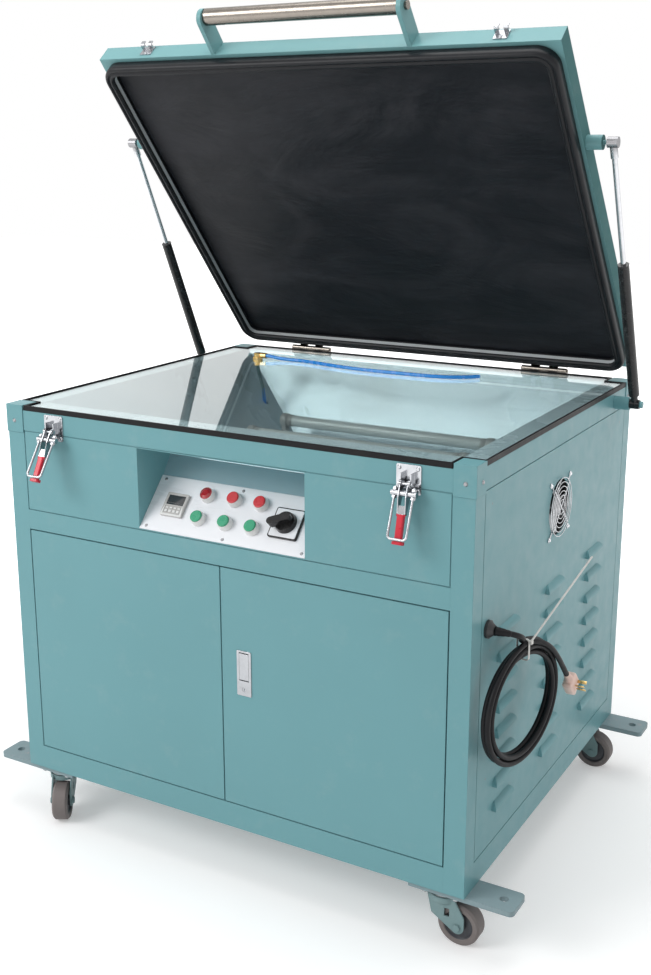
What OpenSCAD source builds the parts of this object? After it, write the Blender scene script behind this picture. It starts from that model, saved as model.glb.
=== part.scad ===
// Screen printing exposure unit: a sheet steel cabinet on four casters, with a glass
// exposure bed over ultraviolet lamps and a vacuum lid with a rubber blanket.
// The lid is drawn open. X runs to the right, Y to the back and Z up.

/* [Cabinet] */
// Overall width of the cabinet over its corner caps
cab_w = 1000; // [900:5:1200]
// Overall depth of the cabinet over its corner caps
cab_d = 850; // [780:5:1000]
// Height of the cabinet from its underside to the top of the corner caps
cab_h = 780; // [740:5:940]
// Side of the square steel tubes of the frame
tube = 40; // [36:1:45]
// Wall of the square steel tubes
tube_wall = 2; // [1.5:0.1:3]
// Height of the bottom rails
sill_h = 50; // [45:1:60]
// Height of the control fascia, between the middle and the top rail
fascia_h = 162; // [155:1:180]
// Thickness of the sheet steel panels
sheet = 1.5; // [1:0.1:2]
// Visible seam round a fixed panel
seam = 2; // [1.5:0.1:3]

/* [Doors] */
// Gap round the doors
door_gap = 2.5; // [2:0.1:3.5]
// Depth of the folded edge of a door
door_fold = 18; // [15:1:24]
// How far each door opens
door_swing = 110; // [90:1:115]

/* [Glass bed] */
// Thickness of the exposure glass
glass_t = 6; // [5:0.5:8]
// Height of the black rubber channel round the glass
gasket_h = 10; // [9:0.5:12]

/* [Lid] */
// Width of the lid
lid_w = 985; // [890:5:1180]
// Height of the lid pan
lid_t = 37.5; // [32:0.5:45]
// Gap between the closed lid and the top of the corner caps
lid_gap = 25.5; // [22:0.5:30]
// Angle of the open lid
lid_open = 49.6; // [45:0.1:55]
// Width of the rubber seal under the lid
seal_w = 22; // [18:1:26]
// Corner radius of the seal and the blanket
seal_r = 40; // [30:1:60]
// Diameter of the stainless handle tube
handle_dia = 32; // [25:1:35]
// Distance between the handle posts
handle_span = 422; // [360:2:500]

/* [Gas springs] */
// Outside diameter of the gas spring cylinders
strut_dia = 22; // [18:1:26]
// Diameter of the gas spring rods
strut_rod_dia = 10; // [8:0.5:12]

/* [Casters] */
// Diameter of the caster wheels
wheel_dia = 80; // [70:1:90]
// Width of the caster wheels
wheel_w = 32; // [26:1:36]
// Trail of the caster axle behind its kingpin
trail = 32; // [24:1:38]

/* [Mains cord] */
// Diameter of the mains cord
cord_dia = 10; // [8:0.5:11]

/* [Hidden] */
$fn = 48;

// Clearances
weld = 0.1;         // gap that keeps welded tubes separate solids
fit = 0.3;          // gap between pieces that seat on each other
run = 0.05;         // radial running clearance of a pin in its bore

// Paint and metal colours
paint = [0.48, 0.66, 0.66];
paint_pale = [0.60, 0.76, 0.76];
black = [0.09, 0.09, 0.10];
rubber = [0.12, 0.12, 0.13];
chrome = [0.80, 0.80, 0.82];
steel = [0.62, 0.63, 0.65];
brass = [0.78, 0.60, 0.28];
white = [0.93, 0.93, 0.92];
red = [0.80, 0.10, 0.16];
green = [0.10, 0.60, 0.42];
blue = [0.05, 0.32, 0.75];
grey = [0.40, 0.41, 0.42];

// Levels of the cabinet, measured from its underside
cap_t = 1.5;                          // sheet of the corner caps
half_w = cab_w / 2 - cap_t;           // outer face of the frame, across
half_d = cab_d / 2 - cap_t;           // outer face of the frame, front and back
rail_top = cab_h - gasket_h;          // top of the top rails
rail_low = rail_top - tube;           // underside of the top rails
fascia_low = rail_low - fascia_h;     // top of the middle rail
mid_low = fascia_low - tube;          // underside of the middle rail
in_w = half_w - tube;                 // inner face of the posts, across
in_d = half_d - tube;                 // inner face of the posts, front and back

// Feet: the caster hangs under a foot plate
foot_t = 10;
foot_w = 65;
foot_in = 110;                        // how far a foot plate runs in under the cabinet
foot_out = 88.5;                      // how far it stands out beside the frame
foot_y = half_d - 37.5;
foot_hole = 16;
foot_hole_in = 28.5;                  // foot hole from the plate's outer end
kingpin_x = half_w - 53.5;
kingpin_y = half_d - 43.5;
caster_h = 106;                       // floor to the underside of the foot plate
base_h = caster_h + foot_t;           // floor to the underside of the cabinet

// Lid in its closed place, from the hinge axis
leaf_t = 2.5;
knuckle_r = 6;
axis_y = half_d + knuckle_r;
axis_z = cab_h + 3;
lid_low = cab_h + lid_gap;
lid_back = half_d;
lid_front = -half_d + 8.5;
lid_top = lid_low + lid_t;
lid_sheet = 2;

// The whole model stands centred over the origin
latch_reach = 67.619;                    // how far the latches stand out of the front face
lid_reach = (lid_top - axis_z) * sin(lid_open) + (lid_back - axis_y) * cos(lid_open);
mid_y = (axis_y + lid_reach - half_d - latch_reach) / 2;

module place() {
  translate([0, -mid_y, base_h]) children();
}

// A plan outline whose four corners are notched
module notched(w, d, nx, ny) {
  square([w - 2 * nx, d], center = true);
  square([w, d - 2 * ny], center = true);
}

// A rectangle with round corners
module round_rect(w, d, r) {
  square([w - 2 * r, d], center = true);
  square([w, d - 2 * r], center = true);
  for (x = [-1, 1], y = [-1, 1]) {
    translate([x * (w / 2 - r), y * (d / 2 - r)]) circle(r);
  }
}

// A bar with round ends, lying along X
module slot_shape(length, width) {
  square([length - width, width], center = true);
  for (x = [-1, 1]) {
    translate([x * (length - width) / 2, 0]) circle(width / 2);
  }
}

// A square tube along X from x0 to x1, its section centred on y and z
module tube_x(x0, x1, y, z, w = tube, h = tube) {
  translate([x0, y, z]) rotate([90, 0, 90]) linear_extrude(x1 - x0) difference() {
    square([w, h], center = true);
    square([w - 2 * tube_wall, h - 2 * tube_wall], center = true);
  }
}

module tube_y(y0, y1, x, z, w = tube, h = tube) {
  translate([x, y1, z]) rotate([90, 0, 0]) linear_extrude(y1 - y0) difference() {
    square([w, h], center = true);
    square([w - 2 * tube_wall, h - 2 * tube_wall], center = true);
  }
}

module tube_z(z0, z1, x, y) {
  translate([x, y, z0]) linear_extrude(z1 - z0) difference() {
    square(tube, center = true);
    square(tube - 2 * tube_wall, center = true);
  }
}

// A plate in the XZ plane, its front at y = 0 and its middle at x = z = 0
module sheet_xz(t) {
  rotate([90, 0, 0]) translate([0, 0, -t]) linear_extrude(t) children();
}

// A pin, screw head or bore along X, centred on the origin
module along_x(r, length) {
  rotate([0, 90, 0]) cylinder(r = r, h = length, center = true);
}

// A pan head screw with its seat at z = 0
module screw_head(r, h) {
  cylinder(r1 = r, r2 = r * 0.7, h = h, $fn = 24);
}

// Frame

post_x = half_w - tube / 2;
post_y = half_d - tube / 2;

module frame() {
  color(paint) place() {
    for (x = [-1, 1], y = [-1, 1]) {
      tube_z(0, rail_top, x * post_x, y * post_y);
    }
    for (y = [-1, 1]) {
      tube_x(-in_w + weld, in_w - weld, y * post_y, sill_h / 2, tube, sill_h);
      tube_x(-in_w + weld, in_w - weld, y * post_y, rail_top - tube / 2);
    }
    for (x = [-1, 1]) {
      tube_y(-in_d + weld, in_d - weld, x * post_x, sill_h / 2, tube, sill_h);
      tube_y(-in_d + weld, in_d - weld, x * post_x, rail_top - tube / 2);
      strut_bracket(x);
      for (z = [sill_h, mid_low]) {
        door_pin(x, z);
      }
    }
    tube_x(-in_w + weld, in_w - weld, -post_y, mid_low + tube / 2);
    door_stop();
  }
}

// The strip behind the doors that they close against
door_stop_w = 30;
module door_stop() {
  h = mid_low - sill_h - 2 * weld;
  translate([0, -half_d + door_fold + 2 * sheet, sill_h + weld])
    translate([-door_stop_w / 2, 0, 0]) cube([door_stop_w, 3, h]);
}

// Door pivots: a pin up from the sill and one down from the middle rail
pivot_x = in_w - 8.5;
pivot_y = half_d - 5.5;
pivot_r = 2;
pivot_h = 10;

module door_pin(side, z) {
  low = z == sill_h;
  translate([side * pivot_x, -pivot_y, low ? z : z - pivot_h])
    cylinder(r = pivot_r, h = pivot_h, $fn = 24);
}

// Panels

// A panel of the given size with a joggled edge: the face stands inside the seam and
// the rim behind it reaches the tubes. It lies in XY with its face at z = 0, below it the rim.
module joggled(w, h, rim = 14) {
  translate([0, 0, -sheet]) linear_extrude(sheet) square([w - 2 * seam, h - 2 * seam], center = true);
  translate([0, 0, -2 * sheet]) linear_extrude(sheet) difference() {
    square([w - 2 * fit, h - 2 * fit], center = true);
    square([w - 2 * rim, h - 2 * rim], center = true);
  }
}

side_w = 2 * in_d;                    // clear width between the posts of a side
side_h = rail_low - sill_h;           // clear height between the rails of a side
side_z = sill_h + side_h / 2;

// Turns a panel drawn in XY into the right side of the cabinet
module on_right(y, z) {
  translate([half_w, y, z]) rotate([90, 0, 90]) children();
}

// Louvres: hoods pressed out of the panel, open at their lower edge
louvre_l = 90;
louvre_h = 15;
louvre_out = 9;
louvre_wall = 1.2;
louvre_rows = 8;
louvre_pitch = 48;
louvre_cols = 3;
louvre_gap = 237;
louvre_top = 450;
louvre_last = in_d - 172.5;           // middle of the rearmost column

// The outside of one hood, with its open edge along the X axis
module louvre_form(l, h, out) {
  r = (out * out + h * h) / (2 * out);
  intersection() {
    translate([0, 0, out - r]) rotate([0, 90, 0]) cylinder(r = r, h = l, center = true);
    linear_extrude(out + 1) intersection() {
      slot_shape(l, 2 * h);
      translate([-l / 2, 0]) square([l, h]);
    }
  }
}

module louvre() {
  difference() {
    louvre_form(louvre_l, louvre_h, louvre_out);
    translate([0, -0.01, -0.01])
      louvre_form(louvre_l - 2 * louvre_wall, louvre_h - louvre_wall, louvre_out - louvre_wall);
  }
}

module louvre_slot() {
  translate([0, louvre_h / 2 - 2, -3 * sheet]) linear_extrude(3 * sheet + 0.5)
    slot_shape(louvre_l - 2 * louvre_h, louvre_h - 6);
}

module each_louvre() {
  for (c = [0:louvre_cols - 1], r = [0:louvre_rows - 1]) {
    translate([louvre_last - c * louvre_gap, louvre_top - side_z - r * louvre_pitch, 0]) children();
  }
}

// Fan and gland places on the right side
fan_y = -15;
fan_z = rail_low - 122;
fan_size = 120;
fan_screws = 105;
gland_y = -in_d + 26.5;
gland_z = mid_low - 47;
gland_r = 10;
side_screws = [[-in_d + 40, 445], [-in_d + 33, 198]];

module side_face() {
  difference() {
    union() {
      joggled(side_w, side_h);
      each_louvre() translate([0, 0, -0.01]) louvre();
    }
    each_louvre() louvre_slot();
    children();
  }
}

module right_side_panel() {
  color(paint) place() on_right(0, side_z) side_face() {
    translate([fan_y, fan_z - side_z, -5]) cylinder(r = fan_size / 2 - 6, h = 10);
    translate([gland_y, gland_z - side_z, -5]) cylinder(r = gland_r + fit, h = 10);
    for (x = [-1, 1], y = [-1, 1]) {
      translate([fan_y + x * fan_screws / 2, fan_z - side_z + y * fan_screws / 2, -5])
        cylinder(r = 2.2, h = 10, $fn = 24);
    }
  }
}

module left_side_panel() {
  color(paint) place() mirror([1, 0, 0]) on_right(0, side_z) side_face();
}

module back_panel() {
  color(paint) place() mirror([0, 1, 0]) translate([0, -half_d, side_z]) rotate([90, 0, 0])
    joggled(2 * in_w, side_h);
}

module floor_panel() {
  color(paint) place() translate([0, 0, sill_h + fit]) linear_extrude(sheet)
    notched(2 * in_w + 20, 2 * in_d + 20, 10 + fit, 10 + fit);
}

// Control niche and its sloping plate

niche_w = 362;
plate_slope = 47.4;
plate_l = 117;                        // length of the plate up its slope
plate_t = 2;
niche_low = fascia_low + 3;
plate_foot = [-half_d, niche_low];
plate_head = plate_foot + plate_l * [cos(plate_slope), sin(plate_slope)];
niche_back = plate_head + [24, 37];
niche_top = rail_low - 3;

// The niche's inside, as seen from the side (y, z)

module niche_prism(w, grow, front) {
  translate([-w / 2, 0, 0]) rotate([90, 0, 90]) linear_extrude(w)
    polygon([[-half_d - front, niche_low - grow], plate_foot + [grow, -grow],
      plate_head + [grow, -grow / 2], niche_back + [grow, 0],
      [niche_back[0] + grow, niche_top + grow], [-half_d - front, niche_top + grow]]);
}

module fascia_panel() {
  mid = (fascia_low + rail_low) / 2;
  color(paint) place() difference() {
    union() {
      translate([0, -half_d, mid]) rotate([90, 0, 0]) joggled(2 * in_w, fascia_h);
      intersection() {
        niche_prism(niche_w + 2 * sheet, sheet, 0);
        translate([-cab_w / 2, -half_d, fascia_low + fit]) cube([cab_w, half_d, fascia_h - 2 * fit]);
      }
    }
    niche_prism(niche_w, 0, 5);
    on_plate() translate([0, plate_l / 2, -10])
      linear_extrude(20) square([niche_w - 24, plate_l - 24], center = true);
  }
}

// Moves children from the plate's own plane into the niche: X across, Y up the slope
module on_plate() {
  translate([0, plate_foot[0], plate_foot[1]]) rotate([plate_slope, 0, 0]) children();
}

plate_face = plate_t + fit;
col = [-60, 0, 58];                   // columns of the lamps and buttons
row = [38, 87];                       // rows of the lamps and buttons
device_r = 11;
timer_at = [-122, 57];
timer_size = 48;
timer_body = 44.5;
switch_at = [123, 58];
switch_size = 60;
plate_screws = [[-168, 8], [5, 7], [172, 8], [-168, 109], [8, 109], [172, 109]];

// Each push button: its node's name stands beside its place
function device_places() = [[col[0], row[1]], [col[1], row[1]], [col[2], row[1]],
  [col[0], row[0]], [col[1], row[0]], [col[2], row[0]]];

module control_plate() {
  color(white) place() on_plate() {
    difference() {
      translate([0, plate_l / 2, fit]) linear_extrude(plate_t)
        square([niche_w - 2 * fit, plate_l - 1], center = true);
      for (p = device_places()) {
        translate([p[0], p[1], -1]) cylinder(r = device_r + 0.15, h = 5);
      }
      translate([timer_at[0], timer_at[1], 2]) cube([timer_body + 0.5, timer_body + 0.5, 6], center = true);
      translate([switch_at[0], switch_at[1], -1]) cylinder(r = 15.3, h = 5);
    }
    for (s = plate_screws) {
      translate([s[0], s[1], plate_face]) difference() {
        screw_head(3.2, 1.6);
        translate([0, 0, 1.6]) cube([5, 0.8, 1.2], center = true);
      }
    }
  }
}

timer_deep = 55;
module timer() {
  color(grey) place() on_plate() translate([timer_at[0], timer_at[1], plate_face]) {
    difference() {
      union() {
        linear_extrude(6) round_rect(timer_size, timer_size, 2);
        translate([0, 0, -timer_deep]) linear_extrude(timer_deep) square(timer_body, center = true);
      }
      translate([0, 9, 5]) linear_extrude(2) round_rect(38, 20, 1);
      translate([0, -12, 5]) linear_extrude(2) round_rect(38, 16, 1);
    }
    translate([0, 10, 5 + fit]) linear_extrude(0.8) square([34, 14], center = true);
    for (k = [0:3]) {
      translate([-13.5 + 9 * k, -14.5, 4.9]) linear_extrude(1.6) round_rect(6, 5, 1, $fn = 16);
      translate([-13.5 + 9 * k, -7.5, 4.9]) linear_extrude(1.2) round_rect(6, 3, 1, $fn = 16);
    }
  }
}

bezel_r = 14.5;
bezel_h = 13;
cap_r = 11.6;
cap_travel = 3;
body_deep = 38;
stem_r = 4;

// One button body: a round bezel over the plate and a square contact block under it
module device_body(bore) {
  difference() {
    union() {
      cylinder(r = bezel_r, h = 5);
      translate([0, 0, 5]) cylinder(r1 = bezel_r, r2 = bezel_r - 1.5, h = bezel_h - 5);
      translate([0, 0, -body_deep]) cylinder(r = device_r, h = body_deep + 1);
      translate([0, 0, -8]) cylinder(r = 14, h = 8 - plate_t - fit, $fn = 6);
    }
    translate([0, 0, 1]) cylinder(r = cap_r + run * 4, h = bezel_h);
    if (bore) {
      translate([0, 0, -20]) cylinder(r = stem_r + run, h = 30);
    }
  }
}

module panel_controls() {
  places = device_places();
  color(white) place() on_plate() translate([0, 0, plate_face]) {
    for (i = [0:5]) {
      translate([places[i][0], places[i][1], 0]) device_body(i > 0);
    }
    // Pilot lamp lens in the first place
    translate([places[0][0], places[0][1], 1 + fit]) {
      cylinder(r = cap_r, h = bezel_h - 2);
      translate([0, 0, bezel_h - 2.01]) cylinder(r1 = cap_r, r2 = cap_r - 5, h = 4);
    }
    // Cam switch: a square face plate, its body under the panel, and the turned knob
    translate([switch_at[0], switch_at[1], 0]) {
      linear_extrude(4) difference() {
        round_rect(switch_size, switch_size, 4);
        circle(6);
      }
      translate([0, 0, 3.99]) linear_extrude(switch_face - 3.99) difference() {
        round_rect(switch_size - 5, switch_size - 5, 3);
        circle(6);
      }
      translate([0, 0, -44]) difference() {
        cylinder(r = 15, h = 44.5);
        translate([0, 0, 34]) cylinder(r = spindle_r + run, h = 12);
      }
      difference() {
        cylinder(r = 6, h = switch_face);
        translate([0, 0, -1]) cylinder(r = spindle_r + run, h = 8);
      }
    }
  }
}

spindle_r = 3;
switch_face = 5.2;                    // raised face of the cam switch over the panel

// Round knob with a wide finger bar, turned to the lower left, on its spindle
module switch_knob() {
  color(black) place() on_plate()
    translate([switch_at[0], switch_at[1], plate_face + switch_face + fit]) rotate([0, 0, 205]) {
      cylinder(r1 = 21, r2 = 19, h = 9);
      translate([6, 0, 8.9]) linear_extrude(15) slot_shape(46, 14);
      translate([0, 0, -9]) cylinder(r = spindle_r, h = 10);
    }
}

module push_button(i, shade) {
  p = device_places()[i];
  color(shade) place() on_plate() translate([p[0], p[1], plate_face]) {
    translate([0, 0, 1 + cap_travel + fit]) {
      cylinder(r = cap_r, h = bezel_h - 2);
      translate([0, 0, bezel_h - 2.01]) cylinder(r1 = cap_r, r2 = cap_r - 1, h = 1);
    }
    translate([0, 0, -14]) cylinder(r = stem_r, h = 20);
  }
}

// Light box, lamps and glass

box_low = fascia_low + 17;
box_floor = [-270, -120, 270, 300];   // x and y limits of its floor
box_mouth = [-in_w, -in_d + 8, in_w, in_d];
liner_flange = 1.5;

// Points of a tapered tray between a floor and a mouth rectangle, grown outwards
function tray_points(g) = [for (k = [0, 1]) let (b = k == 0 ? box_floor : box_mouth,
  z = k == 0 ? box_low - g : rail_top) for (c = [[0, 1], [2, 1], [2, 3], [0, 3]])
  [b[c[0]] + (c[0] == 0 ? -g : g), b[c[1]] + (c[1] == 1 ? -g : g), z]];

module tray(g) {
  polyhedron(tray_points(g), [[0, 1, 2, 3], [4, 7, 6, 5], [0, 4, 5, 1], [1, 5, 6, 2],
    [2, 6, 7, 3], [3, 7, 4, 0]]);
}

hose_drop = [-347, 287];              // where the suction hose passes through the light box

module light_box() {
  color(paint_pale) place() difference() {
    union() {
      tray(0);
      translate([0, 0, rail_top + fit]) linear_extrude(liner_flange)
        notched(2 * half_w - 12, 2 * half_d - 12, tube + 1, tube + 1);
      translate([0, 0, rail_top - 0.01]) linear_extrude(fit + 0.02)
        square([2 * in_w - 1, 2 * in_d - 1], center = true);
    }
    intersection() {
      scale_tray();
      translate([-cab_w, -cab_d, box_low]) cube([2 * cab_w, 2 * cab_d, cab_h]);
    }
    translate([hose_drop[0], hose_drop[1], box_low]) cylinder(r = 7, h = 120);
  }
}

// The inside of the tray: its walls are one sheet thick
tray_t = 2;

module scale_tray() {
  polyhedron([for (p = tray_points(-tray_t)) [p[0], p[1], p[2] + (p[2] > box_low + 10 ? liner_flange + 5 : 0)]],
    [[0, 1, 2, 3], [4, 7, 6, 5], [0, 4, 5, 1], [1, 5, 6, 2], [2, 6, 7, 3], [3, 7, 4, 0]]);
}

lamp_r = 13;
lamp_l = 500;
lamp_z = box_low + 55;
lamp_rows = [235, 90, -55];

module uv_lamps() {
  color(white) place() for (y = lamp_rows) {
    translate([0, y, lamp_z]) {
      along_x(lamp_r, lamp_l);
      for (x = [-1, 1]) {
        translate([x * (lamp_l / 2 + 8 - 0.05), 0, 0]) along_x(lamp_r + 3, 16);
        translate([x * (lamp_l / 2 + 8) - 6, -10, box_low + tray_t + fit - lamp_z])
          cube([12, 20, lamp_z - box_low - tray_t - fit - 4]);
      }
    }
  }
}

glass_z = rail_top + 2;
lip = 4;
fitting_at = [-350, 262];
fitting_bore = 8;

module glass_plate() {
  color([0.75, 0.88, 0.88, 0.4]) place() difference() {
    translate([0, 0, glass_z]) linear_extrude(glass_t)
      notched(2 * half_w - lip, 2 * half_d - lip, tube + 2 + lip / 2, tube + 2 + lip / 2);
    translate([fitting_at[0], fitting_at[1], glass_z - 1]) cylinder(r = fitting_bore + run, h = glass_t + 2);
  }
}

// Rubber channel that holds the glass along its edge
module glass_gasket() {
  color(rubber) place() difference() {
    translate([0, 0, rail_top + fit]) linear_extrude(gasket_h - fit)
      notched(2 * half_w, 2 * half_d, tube + 2, tube + 2);
    translate([0, 0, rail_top - 1]) linear_extrude(gasket_h + 2)
      notched(2 * half_w - 2 * lip, 2 * half_d - 2 * lip, tube + 2, tube + 2);
    translate([0, 0, glass_z]) linear_extrude(glass_t)
      notched(2 * half_w - lip, 2 * half_d - lip, tube + 2 + lip / 2, tube + 2 + lip / 2);
  }
}

cap_h = 55;
cap_w = tube + cap_t;

// One corner cap: two folded faces and a top over the end of the post
module corner_cap() {
  translate([half_w - tube + 0.5, -half_d - cap_t, cab_h - cap_h]) {
    cube([cap_w - 0.5, cap_t, cap_h]);
    translate([tube - 0.5, 0, 0]) cube([cap_t, cap_w - 0.5, cap_h]);
    translate([0, 0, cap_h - gasket_h + fit]) cube([cap_w - 0.5, cap_w - 0.5, gasket_h - fit]);
  }
  translate([half_w - 18, -half_d - cap_t, cab_h - 32]) rotate([90, 0, 0]) screw_head(4, 2);
  translate([half_w + cap_t, -half_d + 24, cab_h - 32]) rotate([0, 90, 0]) screw_head(4, 2);
}

module corner_caps() {
  color(paint_pale) place() for (x = [0, 1], y = [0, 1]) {
    mirror([x, 0, 0]) mirror([0, y, 0]) corner_cap();
  }
}

// Suction fitting and hoses

hose_r = 4;
fitting_out = 24;                     // from the fitting's axis to its hose end
hose_z = glass_z + glass_t + hose_r;

module vacuum_fitting() {
  color(brass) place() translate([fitting_at[0], fitting_at[1], glass_z]) {
    cylinder(r = fitting_bore, h = glass_t + 1);
    translate([0, 0, glass_t + 0.05]) cylinder(r = 13, h = 5, $fn = 6);
    translate([0, 0, glass_t + 5]) cylinder(r = 9, h = 9);
    translate([0, 0, -6.05]) cylinder(r = 13, h = 6, $fn = 6);
    translate([0, 0, -14]) cylinder(r = 5, h = 9);
    translate([0, 0, glass_t + 9]) rotate([0, 90, 0]) {
      cylinder(r = 4.5, h = fitting_out - 6);
      translate([0, 0, 10]) cylinder(r = 6.5, h = fitting_out - 10);
    }
  }
}

hose_start_z = glass_z + glass_t + 9;

// Route of the loose suction hose over the glass, measured from the cabinet's middle
hose_route = [[-326, 262, hose_start_z], [-318, 262, hose_start_z], [-290, 264, 783.5],
  [-262, 266, 782.2], [-236, 266, 782.2], [-200, 261, 782.2], [-160, 251, 782.2],
  [-120, 242, 782.2], [-80, 236, 782.2], [-40, 233, 782.2], [0, 232, 782.2],
  [40, 233, 782.2], [80, 234, 782.2], [115, 236, 782.2], [145, 242, 782.2],
  [170, 254, 782.2], [190, 268, 782.2], [206, 283, 782.2]];

function unit(v) = v / norm(v);

// Rings round a route; ref is a direction that the route never follows
function tube_rings(p, ref, r, sides) = [for (i = [0:len(p) - 1])
  let (t = unit(p[min(i + 1, len(p) - 1)] - p[max(i - 1, 0)]),
    s = unit(cross(t, ref)), u = cross(s, t))
  for (k = [0:sides - 1]) p[i] + r * cos(360 * k / sides) * s + r * sin(360 * k / sides) * u];

function tube_faces(n, sides) = concat([[for (k = [sides - 1:-1:0]) k]],
  [for (i = [0:n - 2], k = [0:sides - 1]) let (a = i * sides + k, b = i * sides + (k + 1) % sides)
    each [[a, b, b + sides], [a, b + sides, a + sides]]],
  [[for (k = [0:sides - 1]) (n - 1) * sides + k]]);

module tube_along(p, ref, r, sides) {
  polyhedron(tube_rings(p, ref, r, sides), tube_faces(len(p), sides));
}

module suction_hose() {
  color(blue) place() tube_along(hose_route, [0, 0, 1], hose_r, 8);
}

// Hose inside the cabinet, from the pump up to the fitting
pump_at = [-250, 200];
line_route = [[pump_at[0], pump_at[1] + 75, 245], [pump_at[0], pump_at[1] + 75, 300],
  [-262, 280, 360], [-290, 284, 430], [-325, 286, 500], [-343, 287, 560],
  [-347, 287, 610], [-347, 286, 660], [-348, 280, 700], [-350, 268, 735],
  [-350, 262, 750], [-350, 262, 757.5]];

// Vacuum pump: a motor on a foot, its pump head and the suction hose
module vacuum_pump() {
  translate([pump_at[0], pump_at[1], sill_h + sheet + 2 * fit]) {
    translate([-90, -60, 0]) cube([180, 120, 8]);
    translate([0, 0, 66]) {
      translate([-30, 0, 0]) along_x(52, 130);
      for (k = [0:5]) {
        translate([-80 + 20 * k, 0, 0]) along_x(55, 6);
      }
      translate([55, 0, 0]) along_x(40, 42);
      translate([-50, -25, -60]) cube([100, 50, 21]);
    }
    translate([0, 75, 150]) cylinder(r = 16, h = 43);
    translate([-12, 20, 100]) cube([24, 45, 20]);
    translate([0, 75, 96]) cylinder(r = 22, h = 55);
  }
  tube_along(line_route, [1, 0, 0], hose_r, 8);
}

ballast_size = [150, 42, 38];
module ballasts() {
  for (k = [0:2]) {
    translate([120, -60 + 90 * k, sill_h + sheet + 2 * fit]) {
      cube(ballast_size);
      translate([-10, 6, 0]) cube([ballast_size[0] + 20, 30, 2]);
      translate([10, 12, ballast_size[2] - 0.01]) cube([20, 18, 12]);
    }
  }
}

module pump_and_ballasts() {
  color(grey) place() {
    vacuum_pump();
    ballasts();
  }
}

// Cooling fan on the right side

hub_r = 22;
fan_t = 25;

module on_fan() {
  translate([half_w - sheet - fit, fan_y, fan_z]) rotate([0, 90, 0]) children();
}

module fan_frame() {
  color(black) place() on_fan() mirror([0, 0, 1]) {
    difference() {
      linear_extrude(fan_t) round_rect(fan_size, fan_size, 6);
      translate([0, 0, -1]) cylinder(r = fan_size / 2 - 3, h = fan_t + 2);
      for (x = [-1, 1], y = [-1, 1]) {
        translate([x * fan_screws / 2, y * fan_screws / 2, -1]) cylinder(r = 2.2, h = fan_t + 2, $fn = 24);
      }
    }
    translate([0, 0, fan_t - 4]) {
      cylinder(r = hub_r, h = 4);
      for (a = [45:90:315]) {
        rotate([0, 0, a]) translate([hub_r - 1, -2, 0.3]) cube([fan_size / 2 - 2 - hub_r, 4, 3.4]);
      }
    }
    translate([0, 0, 6]) cylinder(r = 3, h = fan_t - 8);
  }
}

blades = 7;
module fan_rotor() {
  color(black) place() on_fan() mirror([0, 0, 1]) difference() {
    union() {
      translate([0, 0, 3]) cylinder(r = hub_r, h = 16);
      for (k = [0:blades - 1]) {
        rotate([0, 0, 360 / blades * k]) translate([hub_r - 1, 0, 11]) rotate([35, 0, 0])
          translate([0, -1, 0]) rotate([90, 0, 0]) linear_extrude(2)
            polygon([[0, -7], [fan_size / 2 - hub_r - 6, -9], [fan_size / 2 - hub_r - 4, 9], [0, 7]]);
      }
    }
    translate([0, 0, 5.5]) cylinder(r = 3 + run, h = 20);
  }
}

wire_r = 1.3;                         // arms of the finger guard
ring_r = 0.8;                         // its rings
module fan_guard() {
  color(chrome) place() translate([half_w + wire_r + fit, fan_y, fan_z]) rotate([0, 90, 0]) {
    for (r = [14:8.5:57]) {
      translate([0, 0, 3.5]) rotate_extrude() translate([r, 0]) circle(ring_r, $fn = 16);
    }
    for (a = [45, 135]) {
      rotate([0, 0, a]) translate([0, 0, 4 - wire_r]) rotate([0, 90, 0])
        cylinder(r = wire_r, h = 2 * 57, center = true, $fn = 16);
    }
    for (a = [45:90:315]) {
      rotate([0, 0, a]) {
        translate([57, 0, -wire_r]) cylinder(r = wire_r, h = 5, $fn = 16);
        translate([57, 0, -wire_r]) rotate([0, 90, 0])
          translate([-wire_r, 0, 0]) cylinder(r = wire_r, h = fan_screws * 0.7071 - 57, $fn = 16);
        translate([fan_screws * 0.7071, 0, -wire_r]) {
          cylinder(r = 5, h = 1.6);
          translate([0, 0, 1.5]) screw_head(3.8, 2.4);
        }
      }
    }
  }
}

// Casters and feet

foot_round = 10;                      // outer corners of the foot plates

module foot_plate() {
  length = foot_in + foot_out;
  translate([half_w - foot_in + length / 2, foot_y, -foot_t]) difference() {
    linear_extrude(foot_t) intersection() {
      translate([-length / 2, -foot_w / 2]) square([length, foot_w]);
      translate([-foot_round, 0]) round_rect(length + 2 * foot_round, foot_w, foot_round);
    }
    translate([length / 2 - foot_hole_in, 0, -1]) cylinder(r = foot_hole / 2, h = foot_t + 2);
  }
}

mount_t = 4;
race_r = 26;
race_h = 8;
king_r = 6;

module caster_mount() {
  translate([kingpin_x, kingpin_y, -foot_t - mount_t - 0.05]) {
    linear_extrude(mount_t) round_rect(76, 64, 6);
    translate([0, 0, -race_h]) cylinder(r = race_r, h = race_h + 0.01);
    translate([0, 0, -race_h - 18]) cylinder(r = king_r, h = 19);
    translate([0, 0, -race_h - 18]) cylinder(r = 11, h = 6, $fn = 6);
    for (x = [-1, 1], y = [-1, 1]) {
      translate([x * 30, y * 24, 0]) mirror([0, 0, 1]) cylinder(r = 6, h = 5, $fn = 6);
    }
  }
}

module caster_mounts() {
  color(paint) place() for (x = [0, 1], y = [0, 1]) {
    mirror([x, 0, 0]) mirror([0, y, 0]) {
      foot_plate();
      caster_mount();
    }
  }
}

// Each caster: which corner, and the way its wheel trails at rest
fork_top = caster_h - mount_t - race_h - fit - 0.05;
cheek_gap = 2;
cheek_t = 3;
axle_r = 4;
wheel_r = wheel_dia / 2;

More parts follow.
